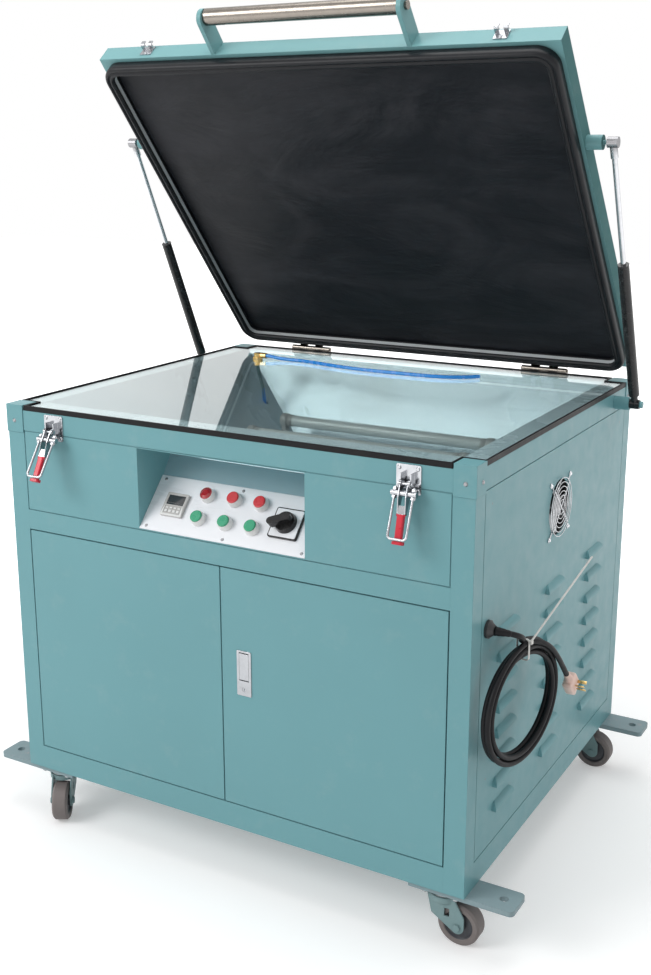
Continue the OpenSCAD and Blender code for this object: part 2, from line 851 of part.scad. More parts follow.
module at_caster(x, y, turn) {
  translate([x * kingpin_x, y * kingpin_y - mid_y, 0]) rotate([0, 0, turn]) children();
}

module caster_fork(x, y, turn) {
  cheek_y = wheel_w / 2 + cheek_gap;
  color(steel) at_caster(x, y, turn) difference() {
    union() {
      translate([0, 0, fork_top - 10]) difference() {
        cylinder(r = race_r + 3, h = 10);
        translate([0, 0, -1]) cylinder(r = race_r - 2, h = 8);
      }
      for (s = [-1, 1]) {
        translate([0, s * (cheek_y + cheek_t / 2), 0]) rotate([90, 0, 0])
          translate([0, 0, -cheek_t / 2]) linear_extrude(cheek_t) difference() {
            union() {
              polygon([[-26, fork_top - 1], [26, fork_top - 1], [trail + 13, wheel_r + 20],
                [trail + 13, wheel_r], [trail + 6, wheel_r - 11], [trail - 8, wheel_r - 10],
                [-18, wheel_r + 16]]);
              translate([trail, wheel_r]) circle(13);
            }
            translate([12, wheel_r + 24]) square([10, 16], center = true);
          }
      }
      translate([trail, 0, wheel_r]) rotate([90, 0, 0])
        cylinder(r = axle_r, h = wheel_w + 2 * cheek_gap + 2 * cheek_t, center = true);
      for (s = [0, 1]) {
        mirror([0, s, 0]) translate([trail, cheek_y + cheek_t - 0.01, wheel_r]) rotate([-90, 0, 0])
          cylinder(r = 7, h = 4, $fn = 6);
      }
    }
    translate([0, 0, fork_top - 30]) cylinder(r = king_r + run, h = 40);
  }
}

module caster_wheel(x, y, turn) {
  w = wheel_w / 2;
  color(grey) at_caster(x, y, turn) translate([trail, 0, wheel_r]) rotate([90, 0, 0])
    rotate_extrude($fn = 64) polygon([[axle_r + run, -w - 1], [11, -w - 1], [11, -w + 5],
      [wheel_r * 0.62, -w + 5], [wheel_r * 0.72, -w], [wheel_r - 4, -w], [wheel_r, -w + 4],
      [wheel_r, w - 4], [wheel_r - 4, w], [wheel_r * 0.72, w], [wheel_r * 0.62, w - 5],
      [11, w - 5], [11, w + 1], [axle_r + run, w + 1]]);
}

// Doors

door_w = in_w - door_gap - door_gap / 2;
door_h = mid_low - sill_h - 2 * door_gap;
door_mid_x = (in_w - door_gap + door_gap / 2) / 2;
lock_at = [50, 273.5];                // middle of the lock, up from the door's lower edge
lock_size = [31, 89];

// A door pan with folded edges and a bush at each pivot, drawn as the right door
module door_pan() {
  translate([door_mid_x, -half_d, sill_h + door_gap]) {
    difference() {
      translate([-door_w / 2, 0, 0]) cube([door_w, door_fold, door_h]);
      translate([-door_w / 2 + sheet, sheet, sheet]) cube([door_w - 2 * sheet, door_fold, door_h - 2 * sheet]);
      for (z = [-1, door_h - pivot_h]) {
        translate([pivot_x - door_mid_x, half_d - pivot_y, z]) cylinder(r = pivot_r + run, h = pivot_h + 1, $fn = 24);
      }
    }
    for (z = [sheet, door_h - pivot_h]) {
      translate([pivot_x - door_mid_x, half_d - pivot_y, z]) difference() {
        cylinder(r = 3.9, h = pivot_h - sheet, $fn = 24);
        translate([0, 0, -1]) cylinder(r = pivot_r + run, h = pivot_h + 2, $fn = 24);
      }
    }
  }
}

module door_left() {
  color(paint) place() mirror([1, 0, 0]) door_pan();
}

module door_right() {
  color(paint) place() {
    difference() {
      door_pan();
      translate([lock_at[0], -half_d, sill_h + door_gap + lock_at[1]])
        cube([lock_size[0] - 6, 10, lock_size[1] - 8], center = true);
    }
    lock_body();
  }
}

// The lock: a face plate with a keyhole, a box behind the door and a tongue
lock_t = 1.6;
paddle_h = 52;
paddle_up = 13;                       // its middle above the middle of the lock
paddle_pin = [3, paddle_h / 2 - 2.5]; // its hinge pin, back from its face and up
echo(paddle_pin = [paddle_pin[0], sill_h + door_gap + lock_at[1] + paddle_up + paddle_pin[1]]);
module lock_body() {
  translate([lock_at[0], -half_d - lock_t - 0.05, sill_h + door_gap + lock_at[1]]) {
    sheet_xz(lock_t) difference() {
      round_rect(lock_size[0], lock_size[1], 2);
      translate([0, paddle_up]) square([21, paddle_h + 4], center = true);
      translate([0, -32]) circle(4.5);
    }
    translate([0, lock_t + 8.05, 0]) difference() {
      cube([lock_size[0] - 7, 15.9, lock_size[1] - 9], center = true);
      translate([0, -4, paddle_up]) cube([21, 15.9, paddle_h + 4], center = true);
    }
    translate([0, 0.4, -32]) rotate([-90, 0, 0]) difference() {
      cylinder(r = 4.3, h = 4);
      cube([1.2, 5, 3], center = true);
    }
    translate([-7, lock_t + 15.9, -52]) cube([14, 3, 40]);
  }
}

// Sprung paddle of the lock, hung on a pin at its top
module lock_paddle() {
  color(chrome) place()
    translate([lock_at[0], -half_d - lock_t - 0.05, sill_h + door_gap + lock_at[1] + paddle_up]) {
      sheet_xz(2) square([20, paddle_h], center = true);
      translate([0, paddle_pin[0], paddle_pin[1]]) along_x(1.8, 20.4);
    }
}

// Hinges and lid

hinge_x = 300;
hinge_w = 105;
hinge_n = 5;                          // knuckles across one hinge
knuckle_l = hinge_w / hinge_n;
hinge_pin_r = 3;

module lid_pose() {
  place() translate([0, axis_y, axis_z]) rotate([-lid_open, 0, 0])
    translate([0, -axis_y, -axis_z]) children();
}

// Knuckles of one leaf: lower leaves take the outer and middle ones
module knuckles(first) {
  for (k = [first:2:hinge_n - 1]) {
    translate([(k - (hinge_n - 1) / 2) * knuckle_l, axis_y, axis_z]) difference() {
      union() {
        along_x(knuckle_r, knuckle_l - fit);
        translate([-(knuckle_l - fit) / 2, -knuckle_r, first == 0 ? -8 : 0])
          cube([knuckle_l - fit, leaf_t, 8]);
      }
      along_x(hinge_pin_r + run, knuckle_l + 1);
    }
  }
}

leaf_low = 30;
module hinge_lower_leaves() {
  color(steel) place() for (x = [-1, 1]) {
    translate([x * hinge_x, 0, 0]) {
      knuckles(0);
      translate([-hinge_w / 2, half_d + 0.05, rail_low + 4]) cube([hinge_w, leaf_t - 0.05, axis_z - knuckle_r - 2 - rail_low - 4]);
      translate([0, axis_y, axis_z]) {
        along_x(hinge_pin_r, hinge_w + 4);
      }
      for (s = [-1, 0, 1]) {
        translate([s * 36, half_d + leaf_t, rail_low + 16]) rotate([-90, 0, 0]) screw_head(4.5, 2);
      }
    }
  }
}

module hinge_upper_leaves() {
  color(steel) lid_pose() for (x = [-1, 1]) {
    translate([x * hinge_x, 0, 0]) {
      knuckles(1);
      translate([-hinge_w / 2, half_d + 0.05, axis_z + knuckle_r + 2]) cube([hinge_w, leaf_t - 0.05, lid_top - 4 - axis_z - knuckle_r - 2]);
      for (s = [-1, 0, 1]) {
        translate([s * 36, half_d + leaf_t, lid_top - 16]) rotate([-90, 0, 0]) screw_head(4.5, 2);
      }
    }
  }
}

lid_mid = (lid_front + lid_back) / 2;
lid_d = lid_back - lid_front;
lid_flange = 60;
boss_r = 13.5;
boss_l = 29.5;
ball_back = 605;                      // strut ball from the lid's back edge
ball_up = 18;                         // and above its underside
ball_closed = [lid_back - ball_back, lid_low + ball_up];
strut_x = cab_w / 2 + 40;
eye_w = 20;
stud_r = 4;
// The stud on each lid boss ends just short of the eye, where the linkage is opened
stud_out = strut_x - eye_w / 2 - fit - lid_w / 2 - boss_l;

post_t = 9;
post_w = 38;
post_l = 86;
handle_out = 68;
handle_up = 24;

module lid_pan() {
  color(paint_pale) lid_pose() {
    difference() {
      translate([-lid_w / 2, lid_front, lid_low]) cube([lid_w, lid_d, lid_t]);
      translate([-lid_w / 2 + lid_sheet, lid_front + lid_sheet, lid_low + lid_sheet])
        cube([lid_w - 2 * lid_sheet, lid_d - 2 * lid_sheet, lid_t - 2 * lid_sheet]);
      translate([-lid_w / 2 + lid_flange, lid_front + lid_flange, lid_low - 1])
        cube([lid_w - 2 * lid_flange, lid_d - 2 * lid_flange, 5]);
    }
    for (x = [-1, 1]) {
      translate([x * (lid_w / 2 + boss_l / 2 - 0.01), ball_closed[0], ball_closed[1]]) {
        along_x(boss_r, boss_l);
        translate([x * (boss_l + stud_out) / 2, 0, 0]) along_x(stud_r, stud_out + weld);
      }
      translate([x * handle_span / 2, lid_front, lid_low + handle_up]) rotate([0, 90, 0])
        translate([0, 0, -post_t / 2]) linear_extrude(post_t) difference() {
          union() {
            translate([-post_w / 2 + 4, -post_l + post_w / 2]) square([post_w, post_l - post_w / 2 + 0.01]);
            translate([4, -post_l + post_w / 2]) circle(post_w / 2);
          }
          translate([0, -handle_out]) circle(5);
        }
    }
  }
}

module handle_bar() {
  inner = handle_span - post_t - 2 * fit;
  color(steel) lid_pose() translate([0, lid_front - handle_out, lid_low + handle_up]) {
    difference() {
      along_x(handle_dia / 2, inner);
      along_x(handle_dia / 2 - 1.5, inner - 8);
    }
    for (x = [-1, 1]) {
      translate([x * (inner / 2 + post_t / 2), 0, 0]) along_x(5 - run, post_t + 4);
      translate([x * (inner / 2 + post_t + 2 * fit + 2.5), 0, 0]) along_x(8, 5);
    }
  }
}

seal_in = 6;                          // seal inset from the lid's edge
blanket_t = 2.5;
seal_low = cab_h + 2 * fit;

module blanket() {
  color(rubber) lid_pose() translate([0, lid_mid, lid_low - blanket_t - 0.05])
    linear_extrude(blanket_t) round_rect(lid_w - 2 * seal_in, lid_d - 2 * seal_in, seal_r);
}

module seal_ring(out, w) {
  difference() {
    round_rect(lid_w - 2 * out, lid_d - 2 * out, seal_r);
    round_rect(lid_w - 2 * out - 2 * w, lid_d - 2 * out - 2 * w, seal_r - w / 2);
  }
}

module blanket_seal() {
  top = lid_low - blanket_t - 0.1;
  color(black) lid_pose() {
    translate([0, lid_mid, seal_low + 5]) linear_extrude(top - seal_low - 5) seal_ring(seal_in, seal_w);
    translate([0, lid_mid, seal_low]) linear_extrude(5.01) seal_ring(seal_in + 3, seal_w - 6);
  }
}

// Gas springs

strut_low = [half_d - 112.5, rail_top - 20];
hinge_axis = [axis_y, axis_z];

// Where a point (y, z) of the closed lid goes when the lid opens
function opened(d) = hinge_axis + [d[0] * cos(lid_open) + d[1] * sin(lid_open),
  d[1] * cos(lid_open) - d[0] * sin(lid_open)];

ball_open = opened(ball_closed - hinge_axis);
strut_open = norm(ball_open - strut_low);
strut_closed = norm(ball_closed - strut_low);
angle_open = atan2(ball_open[1] - strut_low[1], strut_low[0] - ball_open[0]);
angle_closed = atan2(ball_closed[1] - strut_low[1], strut_low[0] - ball_closed[0]);
barrel_l = 329;

echo(strut_open = strut_open, strut_closed = strut_closed);
echo(angle_open = angle_open, angle_closed = angle_closed);
echo(swing_ratio = (angle_open - angle_closed) / lid_open);
echo(slide_ratio = (strut_open - strut_closed) / 1000 / (lid_open * PI / 180));
echo(strut_low = [strut_x, strut_low[0] - mid_y, strut_low[1] + base_h]);
echo(hinge_line = [axis_y - mid_y, axis_z + base_h], mid_y = mid_y);

// Boss and stud that carry a gas spring, on the side rail
module strut_bracket(side) {
  reach = strut_x - eye_w / 2 - fit - half_w - weld;
  translate([side * (half_w + weld + reach / 2), strut_low[0], strut_low[1]]) {
    along_x(boss_r, reach);
    translate([side * (reach / 2 + eye_w / 2 + 2), 0, 0]) along_x(stud_r, eye_w + 6);
    translate([side * (reach / 2 + eye_w + 2 * fit + 3), 0, 0]) along_x(7, 6);
  }
}

// Moves children from the strut's own line (along X from its lower eye) into place
module on_strut(side) {
  place() translate([side * strut_x, strut_low[0], strut_low[1]])
    rotate([0, 0, -90]) rotate([0, -angle_open, 0]) children();
}

module strut_cylinder(side) {
  color(black) on_strut(side) difference() {
    union() {
      rotate([90, 0, 0]) cylinder(r = 10, h = eye_w, center = true);
      rotate([0, 90, 0]) cylinder(r = 7, h = 30);
      translate([24, 0, 0]) rotate([0, 90, 0]) cylinder(r = strut_dia / 2, h = barrel_l - 24);
    }
    rotate([90, 0, 0]) cylinder(r = stud_r + run, h = eye_w + 2, center = true);
    translate([34, 0, 0]) rotate([0, 90, 0]) cylinder(r = strut_dia / 2 - 2, h = barrel_l - 34 - 14);
    translate([30, 0, 0]) rotate([0, 90, 0]) cylinder(r = strut_rod_dia / 2 + run, h = barrel_l);
  }
}

module strut_rod(side) {
  color(chrome) on_strut(side) {
    translate([285, 0, 0]) rotate([0, 90, 0]) {
      cylinder(r = strut_rod_dia / 2, h = strut_open - 285 - 8);
      cylinder(r = strut_dia / 2 - 2 - run * 4, h = 10);
    }
    translate([strut_open - 30, 0, 0]) rotate([0, 90, 0]) cylinder(r = 7, h = 24);
    translate([strut_open, 0, 0]) rotate([90, 0, 0]) cylinder(r = 10, h = eye_w, center = true);
  }
}

// Toggle latches

latch_x = 380;
latch_z = cab_h - 37;                 // middle of the base plate
base_w = 45;
base_l = 50;
base_t = 2;
ear_x = 9.5;                          // middle of an ear, from the latch's middle
ear_t = 2;
pin_out = 14;                         // lever pin in front of the cabinet face
pin_z = cab_h - 42;
latch_pin_r = 2.5;
bar_l = 16;                           // lever pin to the trunnion bar
bar_r = 5;
lever_l = 100;
bail_half = 17;
bail_r = 2.3;
bail_l = 76;
bail_lean = 7;                        // bail beyond the lever's lean
function lever_lean(side) = side < 0 ? 28 : 14;
grip_l = 50;
cheek_end = 52;                       // lever pin to the lower end of the steel channel

module latch_base() {
  translate([0, -half_d - 0.05, latch_z]) {
    difference() {
      translate([0, -base_t, 0]) sheet_xz(base_t) round_rect(base_w, base_l, 3);
      for (x = [-1, 1], z = [-1, 1]) {
        translate([x * 17, 0, z * 19]) rotate([90, 0, 0]) cylinder(r = 2.2, h = 10, center = true, $fn = 24);
      }
    }
    for (x = [-1, 1]) {
      for (z = [-1, 1]) {
        translate([x * 17, 0.02, z * 19]) rotate([90, 0, 0]) {
          cylinder(r = 2, h = base_t + 0.1, $fn = 24);
          translate([0, 0, base_t + 0.05]) screw_head(3.8, 2);
        }
      }
      translate([x * ear_x, -base_t + 0.01, 0]) rotate([90, 0, 90]) translate([0, 0, -ear_t / 2])
        linear_extrude(ear_t) difference() {
          union() {
            translate([-pin_out + base_t, pin_z - latch_z - 5]) square([pin_out - base_t, 22]);
            translate([-pin_out + base_t, pin_z - latch_z]) circle(7);
          }
          translate([-pin_out + base_t, pin_z - latch_z]) circle(latch_pin_r + run);
        }
    }
  }
}

module latch_bases() {
  color(chrome) place() for (x = [-1, 1]) {
    translate([x * latch_x, 0, 0]) latch_base();
  }
}

// The lever's own frame: its pin at the origin, the lever hanging along -Z
module on_lever(side) {
  place() translate([side * latch_x, -half_d - pin_out - 0.05, pin_z]) rotate([-lever_lean(side), 0, 0]) children();
}

lever_in = 6.2;                       // half width of the lever's channel
module latch_lever(side) {
  color(chrome) on_lever(side) {
    difference() {
      union() {
        for (x = [-1, 1]) {
          translate([x * (lever_in + 0.8), 0, 0]) rotate([90, 0, 90]) translate([0, 0, -0.8]) linear_extrude(1.6) union() {
            circle(6.5);
            polygon([[-6, 0], [6, 0], [8, -bar_l - 6], [3, -cheek_end], [-3, -cheek_end], [-8, -bar_l - 6]]);
          }
        }
        translate([-lever_in - 1.6, -3.5, -cheek_end - 2]) cube([2 * lever_in + 3.2, 1.6, 18]);
        along_x(latch_pin_r, 2 * ear_x + ear_t + 4);
        for (x = [-1, 1]) {
          translate([x * (ear_x + ear_t / 2 + fit + 1), 0, 0]) along_x(4, 2);
        }
      }
      translate([0, 0, -bar_l]) along_x(bar_r + run, 40);
    }
    // Plastic grip over the end of the lever
    translate([0, 0, -lever_l]) {
      translate([0, -1, 0]) linear_extrude(grip_l) round_rect(13, 9, 3, $fn = 32);
      translate([0, -1, 0]) linear_extrude(5) round_rect(20, 13, 4, $fn = 32);
    }
  }
}

// Trunnion bar with the U-shaped bail, hanging beside the lever
module latch_bail(side) {
  color(chrome) on_lever(side) translate([0, 0, -bar_l]) rotate([-bail_lean, 0, 0]) {
    along_x(bar_r, 2 * bail_half + 12);
    for (x = [-1, 1]) {
      translate([x * bail_half, 0, -bail_l + bail_r * 3]) cylinder(r = bail_r, h = bail_l + 4, $fn = 16);
      for (z = [bar_r - 0.4, -bar_r - 4]) {
        translate([x * bail_half, 0, z]) cylinder(r = 4.6, h = 4.4, $fn = 6);
      }
      translate([x * (bail_half - 3 * bail_r), 0, -bail_l + 3 * bail_r]) rotate([90, 0, 0])
        intersection() {
          rotate_extrude($fn = 32) translate([3 * bail_r, 0]) circle(bail_r, $fn = 16);
          translate([x > 0 ? 0 : -20, -20, -5]) cube([20, 20, 10]);
        }
    }
    translate([0, 0, -bail_l]) along_x(bail_r, 2 * bail_half - 6 * bail_r, $fn = 16);
  }
}

// Keepers on the lid's front: a bent plate whose two arms curl up and over
module latch_hook() {
  translate([0, lid_front - 0.05, lid_low + 21]) {
    translate([0, -2, 0]) sheet_xz(2) square([26, 24], center = true);
    for (x = [-1, 1]) {
      translate([x * 9, 0, 0]) rotate([90, 0, 90]) translate([0, 0, -4]) linear_extrude(8) difference() {
        union() {
          translate([-11, 2]) square([10, 3]);
          translate([-11, 6]) circle(4);
          translate([-15, 6]) square([3, 7]);
        }
        translate([-11, 7.5]) circle(1.6);
        translate([-12.6, 7.5]) square([5.6, 8]);
      }
    }
    translate([0, -2, -7]) rotate([90, 0, 0]) screw_head(4, 2.5);
  }
}

module latch_hooks() {
  color(chrome) lid_pose() for (x = [-1, 1]) {
    translate([x * latch_x, 0, 0]) latch_hook();
  }
}

// Mains cord

gland_out = 14;                       // gland nut in front of the panel
cord_r = cord_dia / 2;

module cable_gland() {
  color(black) place() translate([half_w, gland_y, gland_z]) rotate([0, 90, 0]) {
    translate([0, 0, fit]) cylinder(r = 16, h = 5);
    translate([0, 0, fit + 4.99]) cylinder(r1 = 15, r2 = 8, h = gland_out - 5);
    translate([0, 0, -12]) cylinder(r = gland_r, h = 13);
    translate([0, 0, -9]) cylinder(r = 15, h = 5, $fn = 6);
  }
}

coil_at = [540, -293, 330];           // middle of the hanging coil
coil_turn = 8;                        // its plane, turned about the vertical
coil_r = 100;
coil_pitch = cord_dia + 1;
coil_turns = 4;
coil_oval = 1.14;                     // width of a turn over its height
coil_steps = 24;
coil_across = [sin(coil_turn), cos(coil_turn), 0];
coil_normal = [cos(coil_turn), -sin(coil_turn), 0];

// Radius and layer of the cord after u turns: two turns inwards, two back out
function coil_radius(u) = coil_r + coil_pitch * (abs(u - coil_turns / 2) - coil_turns / 4);
function coil_layer(u) = let (s = min(max((u - coil_turns / 2) * 2 + 0.5, 0), 1))
  coil_pitch * (s * s * (3 - 2 * s) - 0.5);
function coil_point(u) = coil_at + coil_radius(u) * (coil_oval * sin(360 * u) * coil_across + cos(360 * u) * [0, 0, 1])
  + coil_layer(u) * coil_normal;

coil_route = [for (i = [0:coil_turns * coil_steps]) coil_point(i / coil_steps)];

coil_gap = min([for (i = [0:len(coil_route) - 1 - coil_steps / 2], j = [i + coil_steps / 2:len(coil_route) - 1])
  norm(coil_route[i] - coil_route[j])]) - cord_dia;
echo(coil_gap = coil_gap, coil_start = coil_route[0], coil_end = coil_route[len(coil_route) - 1]);

lead_route = [[512.5, -357, 480], [520, -357, 480], [532, -354, 479.5], [542, -348, 478],
  [548, -339, 474.5], [550, -328, 468.5], [547, -318, 461], [542, -309, 453.5],
  [537, -301, 448], [535.2, -296.4, 443.9], [534.5, -293.6, 442.1]];

tail_route = [[545.4, -293, 441], [548, -280, 440], [555, -262, 435.5], [562, -243, 426],
  [567, -224, 412], [569, -205, 395], [570, -186, 376.5], [570, -167, 357.5], [570, -148, 338],
  [570, -131, 320.5]];

module mains_lead() {
  color(black) place() tube_along(lead_route, [0, 0, 1], cord_r, 8);
}

module mains_coil() {
  color(black) place() tube_along(coil_route, coil_normal, cord_r, 6);
}

module mains_tail() {
  color(black) place() tube_along(tail_route, [1, 0, 0.3], cord_r, 8);
}

plug_at = tail_route[len(tail_route) - 1];
plug_tilt = 46;                       // the plug's length hangs below the level
module mains_plug() {
  color([0.9, 0.8, 0.76]) place() translate(plug_at) rotate([-plug_tilt, 0, 0]) {
    translate([0, 0.1, 0]) rotate([-90, 0, 0]) cylinder(r = 8, h = 9);
    translate([-11, 8, -17]) cube([22, 38, 34]);
    for (p = [[-8, 0], [8, 0], [0, 12]]) {
      translate([10.9, 24 + p[0] * 0.9 + 4, p[1] - 5]) cube([18, p[1] == 0 ? 1.6 : 6.3, p[1] == 0 ? 6.3 : 1.6]);
    }
  }
}

// White cable tie round the top of the coil, with its long free end
tie_w = 4.5;
module cable_tie() {
  half_x = coil_pitch / 2 + cord_r + 0.5;
  half_z = coil_pitch + cord_r + 2.5;
  color(white) place() translate([coil_at[0], coil_at[1], coil_at[2] + coil_r]) rotate([0, 0, -coil_turn]) {
    rotate([90, 0, 0]) linear_extrude(tie_w, center = true) difference() {
      round_rect(2 * half_x + 2.4, 2 * half_z + 2.4, 5);
      round_rect(2 * half_x, 2 * half_z, 4);
    }
    translate([half_x + 3.5, 0, half_z - 3]) cube([6, 7, 6], center = true);
    translate([half_x + 4, 0, half_z - 1]) rotate([-48, 0, 0]) rotate([0, 12, 0])
      translate([-0.7, -tie_w / 2, 0]) cube([1.4, tie_w, 190]);
  }
}

frame();
left_side_panel();
right_side_panel();
back_panel();
floor_panel();
fascia_panel();
light_box();
uv_lamps();
glass_plate();
glass_gasket();
corner_caps();
control_plate();
timer();
panel_controls();
fan_frame();
fan_guard();
fan_rotor();
caster_mounts();
hinge_lower_leaves();
latch_bases();
pump_and_ballasts();
vacuum_fitting();
suction_hose();
cable_gland();
mains_lead();
mains_coil();
mains_tail();
mains_plug();
cable_tie();
door_left();
door_right();
lock_paddle();
lid_pan();
blanket();
blanket_seal();
handle_bar();
latch_hooks();
hinge_upper_leaves();
strut_cylinder(-1);  // strut_cylinder_left
strut_cylinder(1);  // strut_cylinder_right
strut_rod(-1);  // strut_rod_left
strut_rod(1);  // strut_rod_right
latch_lever(-1);  // latch_lever_left
latch_lever(1);  // latch_lever_right
latch_bail(-1);  // latch_bail_left
latch_bail(1);  // latch_bail_right
switch_knob();
push_button(1, red);  // red_button_middle
push_button(2, red);  // red_button_right
push_button(3, green);  // green_button_left
push_button(4, green);  // green_button_middle
push_button(5, green);  // green_button_right
caster_fork(-1, -1, -60);  // caster_fork_front_left
caster_fork(1, -1, 0);  // caster_fork_front_right
caster_fork(-1, 1, 200);  // caster_fork_back_left
caster_fork(1, 1, 0);  // caster_fork_back_right
caster_wheel(-1, -1, -60);  // caster_wheel_front_left
caster_wheel(1, -1, 0);  // caster_wheel_front_right
caster_wheel(-1, 1, 200);  // caster_wheel_back_left
caster_wheel(1, 1, 0);  // caster_wheel_back_right
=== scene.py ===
import math

import bpy
from mathutils import Matrix, Vector, noise


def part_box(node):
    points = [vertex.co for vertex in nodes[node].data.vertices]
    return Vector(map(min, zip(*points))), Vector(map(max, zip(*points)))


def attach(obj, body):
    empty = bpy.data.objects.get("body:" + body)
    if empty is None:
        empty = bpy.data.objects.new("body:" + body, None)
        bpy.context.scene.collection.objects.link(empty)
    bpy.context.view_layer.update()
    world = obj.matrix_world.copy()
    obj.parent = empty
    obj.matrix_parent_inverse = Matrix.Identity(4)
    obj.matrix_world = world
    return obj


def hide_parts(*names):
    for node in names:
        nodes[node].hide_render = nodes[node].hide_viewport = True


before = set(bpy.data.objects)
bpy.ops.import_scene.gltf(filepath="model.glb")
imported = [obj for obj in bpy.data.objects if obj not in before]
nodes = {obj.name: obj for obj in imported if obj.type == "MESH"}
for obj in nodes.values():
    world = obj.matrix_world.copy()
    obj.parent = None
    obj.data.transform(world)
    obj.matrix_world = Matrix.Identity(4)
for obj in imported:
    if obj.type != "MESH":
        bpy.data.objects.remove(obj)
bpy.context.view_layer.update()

# ---------------------------------------------------------------- places
# The CAD's own cabinet measures are millimetres from the middle of the cabinet's underside.
MID_Y, BASE = -9.908, 116.0
HINGE = (429.5, 783.0)                 # y and z of the lid's hinge line
LID_OPEN = math.radians(49.6)


def P(x, y, z):
    """Cabinet millimetres to the row frame in metres."""
    return Vector((x, y - MID_Y, z + BASE)) / 1000


def L(x, y, z):
    """A point of the closed lid, in cabinet millimetres, where the open lid has it."""
    dy, dz = y - HINGE[0], z - HINGE[1]
    c, s = math.cos(LID_OPEN), math.sin(LID_OPEN)
    return P(x, HINGE[0] + dy * c + dz * s, HINGE[1] - dy * s + dz * c)


PLATE_TILT = math.radians(47.4)
PLATE_FOOT = (-423.5, 571.0)           # y and z of the control plate's lower edge


# ---------------------------------------------------------------- camera
# The camera fitted to the photograph: its size, focal length and centre in pixels, and its sensor in mm
PHOTO_W, PHOTO_H, FOCAL, CENTRE, SENSOR = 651, 975, 1253.63, (311.12, 463.75), 36
azimuth, elevation, roll = (math.radians(a) for a in (30.226, 14.557, -0.213))
back = Vector((math.sin(azimuth) * math.cos(elevation), -math.cos(azimuth) * math.cos(elevation),
               math.sin(elevation)))
level = Vector((math.cos(azimuth), math.sin(azimuth), 0))
right = level * math.cos(roll) + back.cross(level) * math.sin(roll)
up = back.cross(right)
cam_data = bpy.data.cameras.new("camera")
cam_data.sensor_width = SENSOR
cam_data.lens = FOCAL * SENSOR / PHOTO_H
cam_data.shift_x = (PHOTO_W / 2 - CENTRE[0]) / PHOTO_H
cam_data.shift_y = (CENTRE[1] - PHOTO_H / 2) / PHOTO_H
cam_data.clip_start = 0.05
camera = bpy.data.objects.new("camera", cam_data)
bpy.context.collection.objects.link(camera)
turn = Matrix((right, up, back)).transposed().to_4x4()
camera.matrix_world = Matrix.Translation(P(1238.0, -2214.7, 1283.5)) @ turn
bpy.context.scene.camera = camera


# ---------------------------------------------------------------- materials
def srgb(r, g, b):
    """An sRGB colour in 0 to 255 as linear RGBA."""
    lin = [((c / 255 + 0.055) / 1.055) ** 2.4 if c > 10 else c / 3295 for c in (r, g, b)]
    return (*lin, 1.0)


class Nodes:
    """A material's node tree with short calls."""

    def __init__(self, name):
        self.mat = bpy.data.materials.new(name)
        self.mat.use_nodes = True
        self.tree = self.mat.node_tree
        self.bsdf = self.tree.nodes["Principled BSDF"]
        self.where = self.tree.nodes.new("ShaderNodeTexCoord").outputs["Object"]

    def add(self, kind, **inputs):
        n = self.tree.nodes.new(kind)
        for key, value in inputs.items():
            self.put(n.inputs[key.replace("_", " ")], value)
        return n

    def put(self, socket, value):
        if hasattr(value, "is_output"):
            self.tree.links.new(value, socket)
        else:
            socket.default_value = value

    def set(self, **inputs):
        for key, value in inputs.items():
            self.put(self.bsdf.inputs[key.replace("_", " ")], value)

    def stretched(self, x, y, z):
        n = self.add("ShaderNodeMapping", Vector=self.where)
        n.inputs["Scale"].default_value = (x, y, z)
        return n.outputs["Vector"]

    def noise(self, scale, detail=3.0, rough=0.55, vector=None, distortion=0.0):
        n = self.add("ShaderNodeTexNoise", Vector=vector or self.where, Scale=scale, Detail=detail,
                     Roughness=rough, Distortion=distortion)
        return n.outputs["Fac"]

    def ramp(self, fac, *stops):
        n = self.add("ShaderNodeValToRGB", Fac=fac)
        ramp = n.color_ramp
        while len(ramp.elements) < len(stops):
            ramp.elements.new(0.5)
        for e, (at, value) in zip(ramp.elements, stops):
            e.position = at
            e.color = value if hasattr(value, "__len__") else (value, value, value, 1)
        return n.outputs["Color"]

    def span(self, fac, low, high, to_low, to_high):
        n = self.add("ShaderNodeMapRange", Value=fac)
        for key, value in (("From Min", low), ("From Max", high), ("To Min", to_low), ("To Max", to_high)):
            n.inputs[key].default_value = value
        return n.outputs["Result"]

    def mix(self, fac, a, b, blend="MIX"):
        n = self.tree.nodes.new("ShaderNodeMix")
        n.data_type = "RGBA"
        n.blend_type = blend
        self.put(n.inputs[0], fac)
        self.put(n.inputs[6], a)
        self.put(n.inputs[7], b)
        return n.outputs[2]

    def bump(self, height, strength, distance, normal=None):
        n = self.add("ShaderNodeBump", Height=height)
        n.inputs["Strength"].default_value = strength
        n.inputs["Distance"].default_value = distance
        if normal:
            self.put(n.inputs["Normal"], normal)
        return n.outputs["Normal"]

    def round_edges(self, radius):
        n = self.tree.nodes.new("ShaderNodeBevel")
        n.samples = 4
        n.inputs["Radius"].default_value = radius
        return n.outputs["Normal"]


def darker(c, f):
    return (c[0] * f, c[1] * f, c[2] * f, 1)


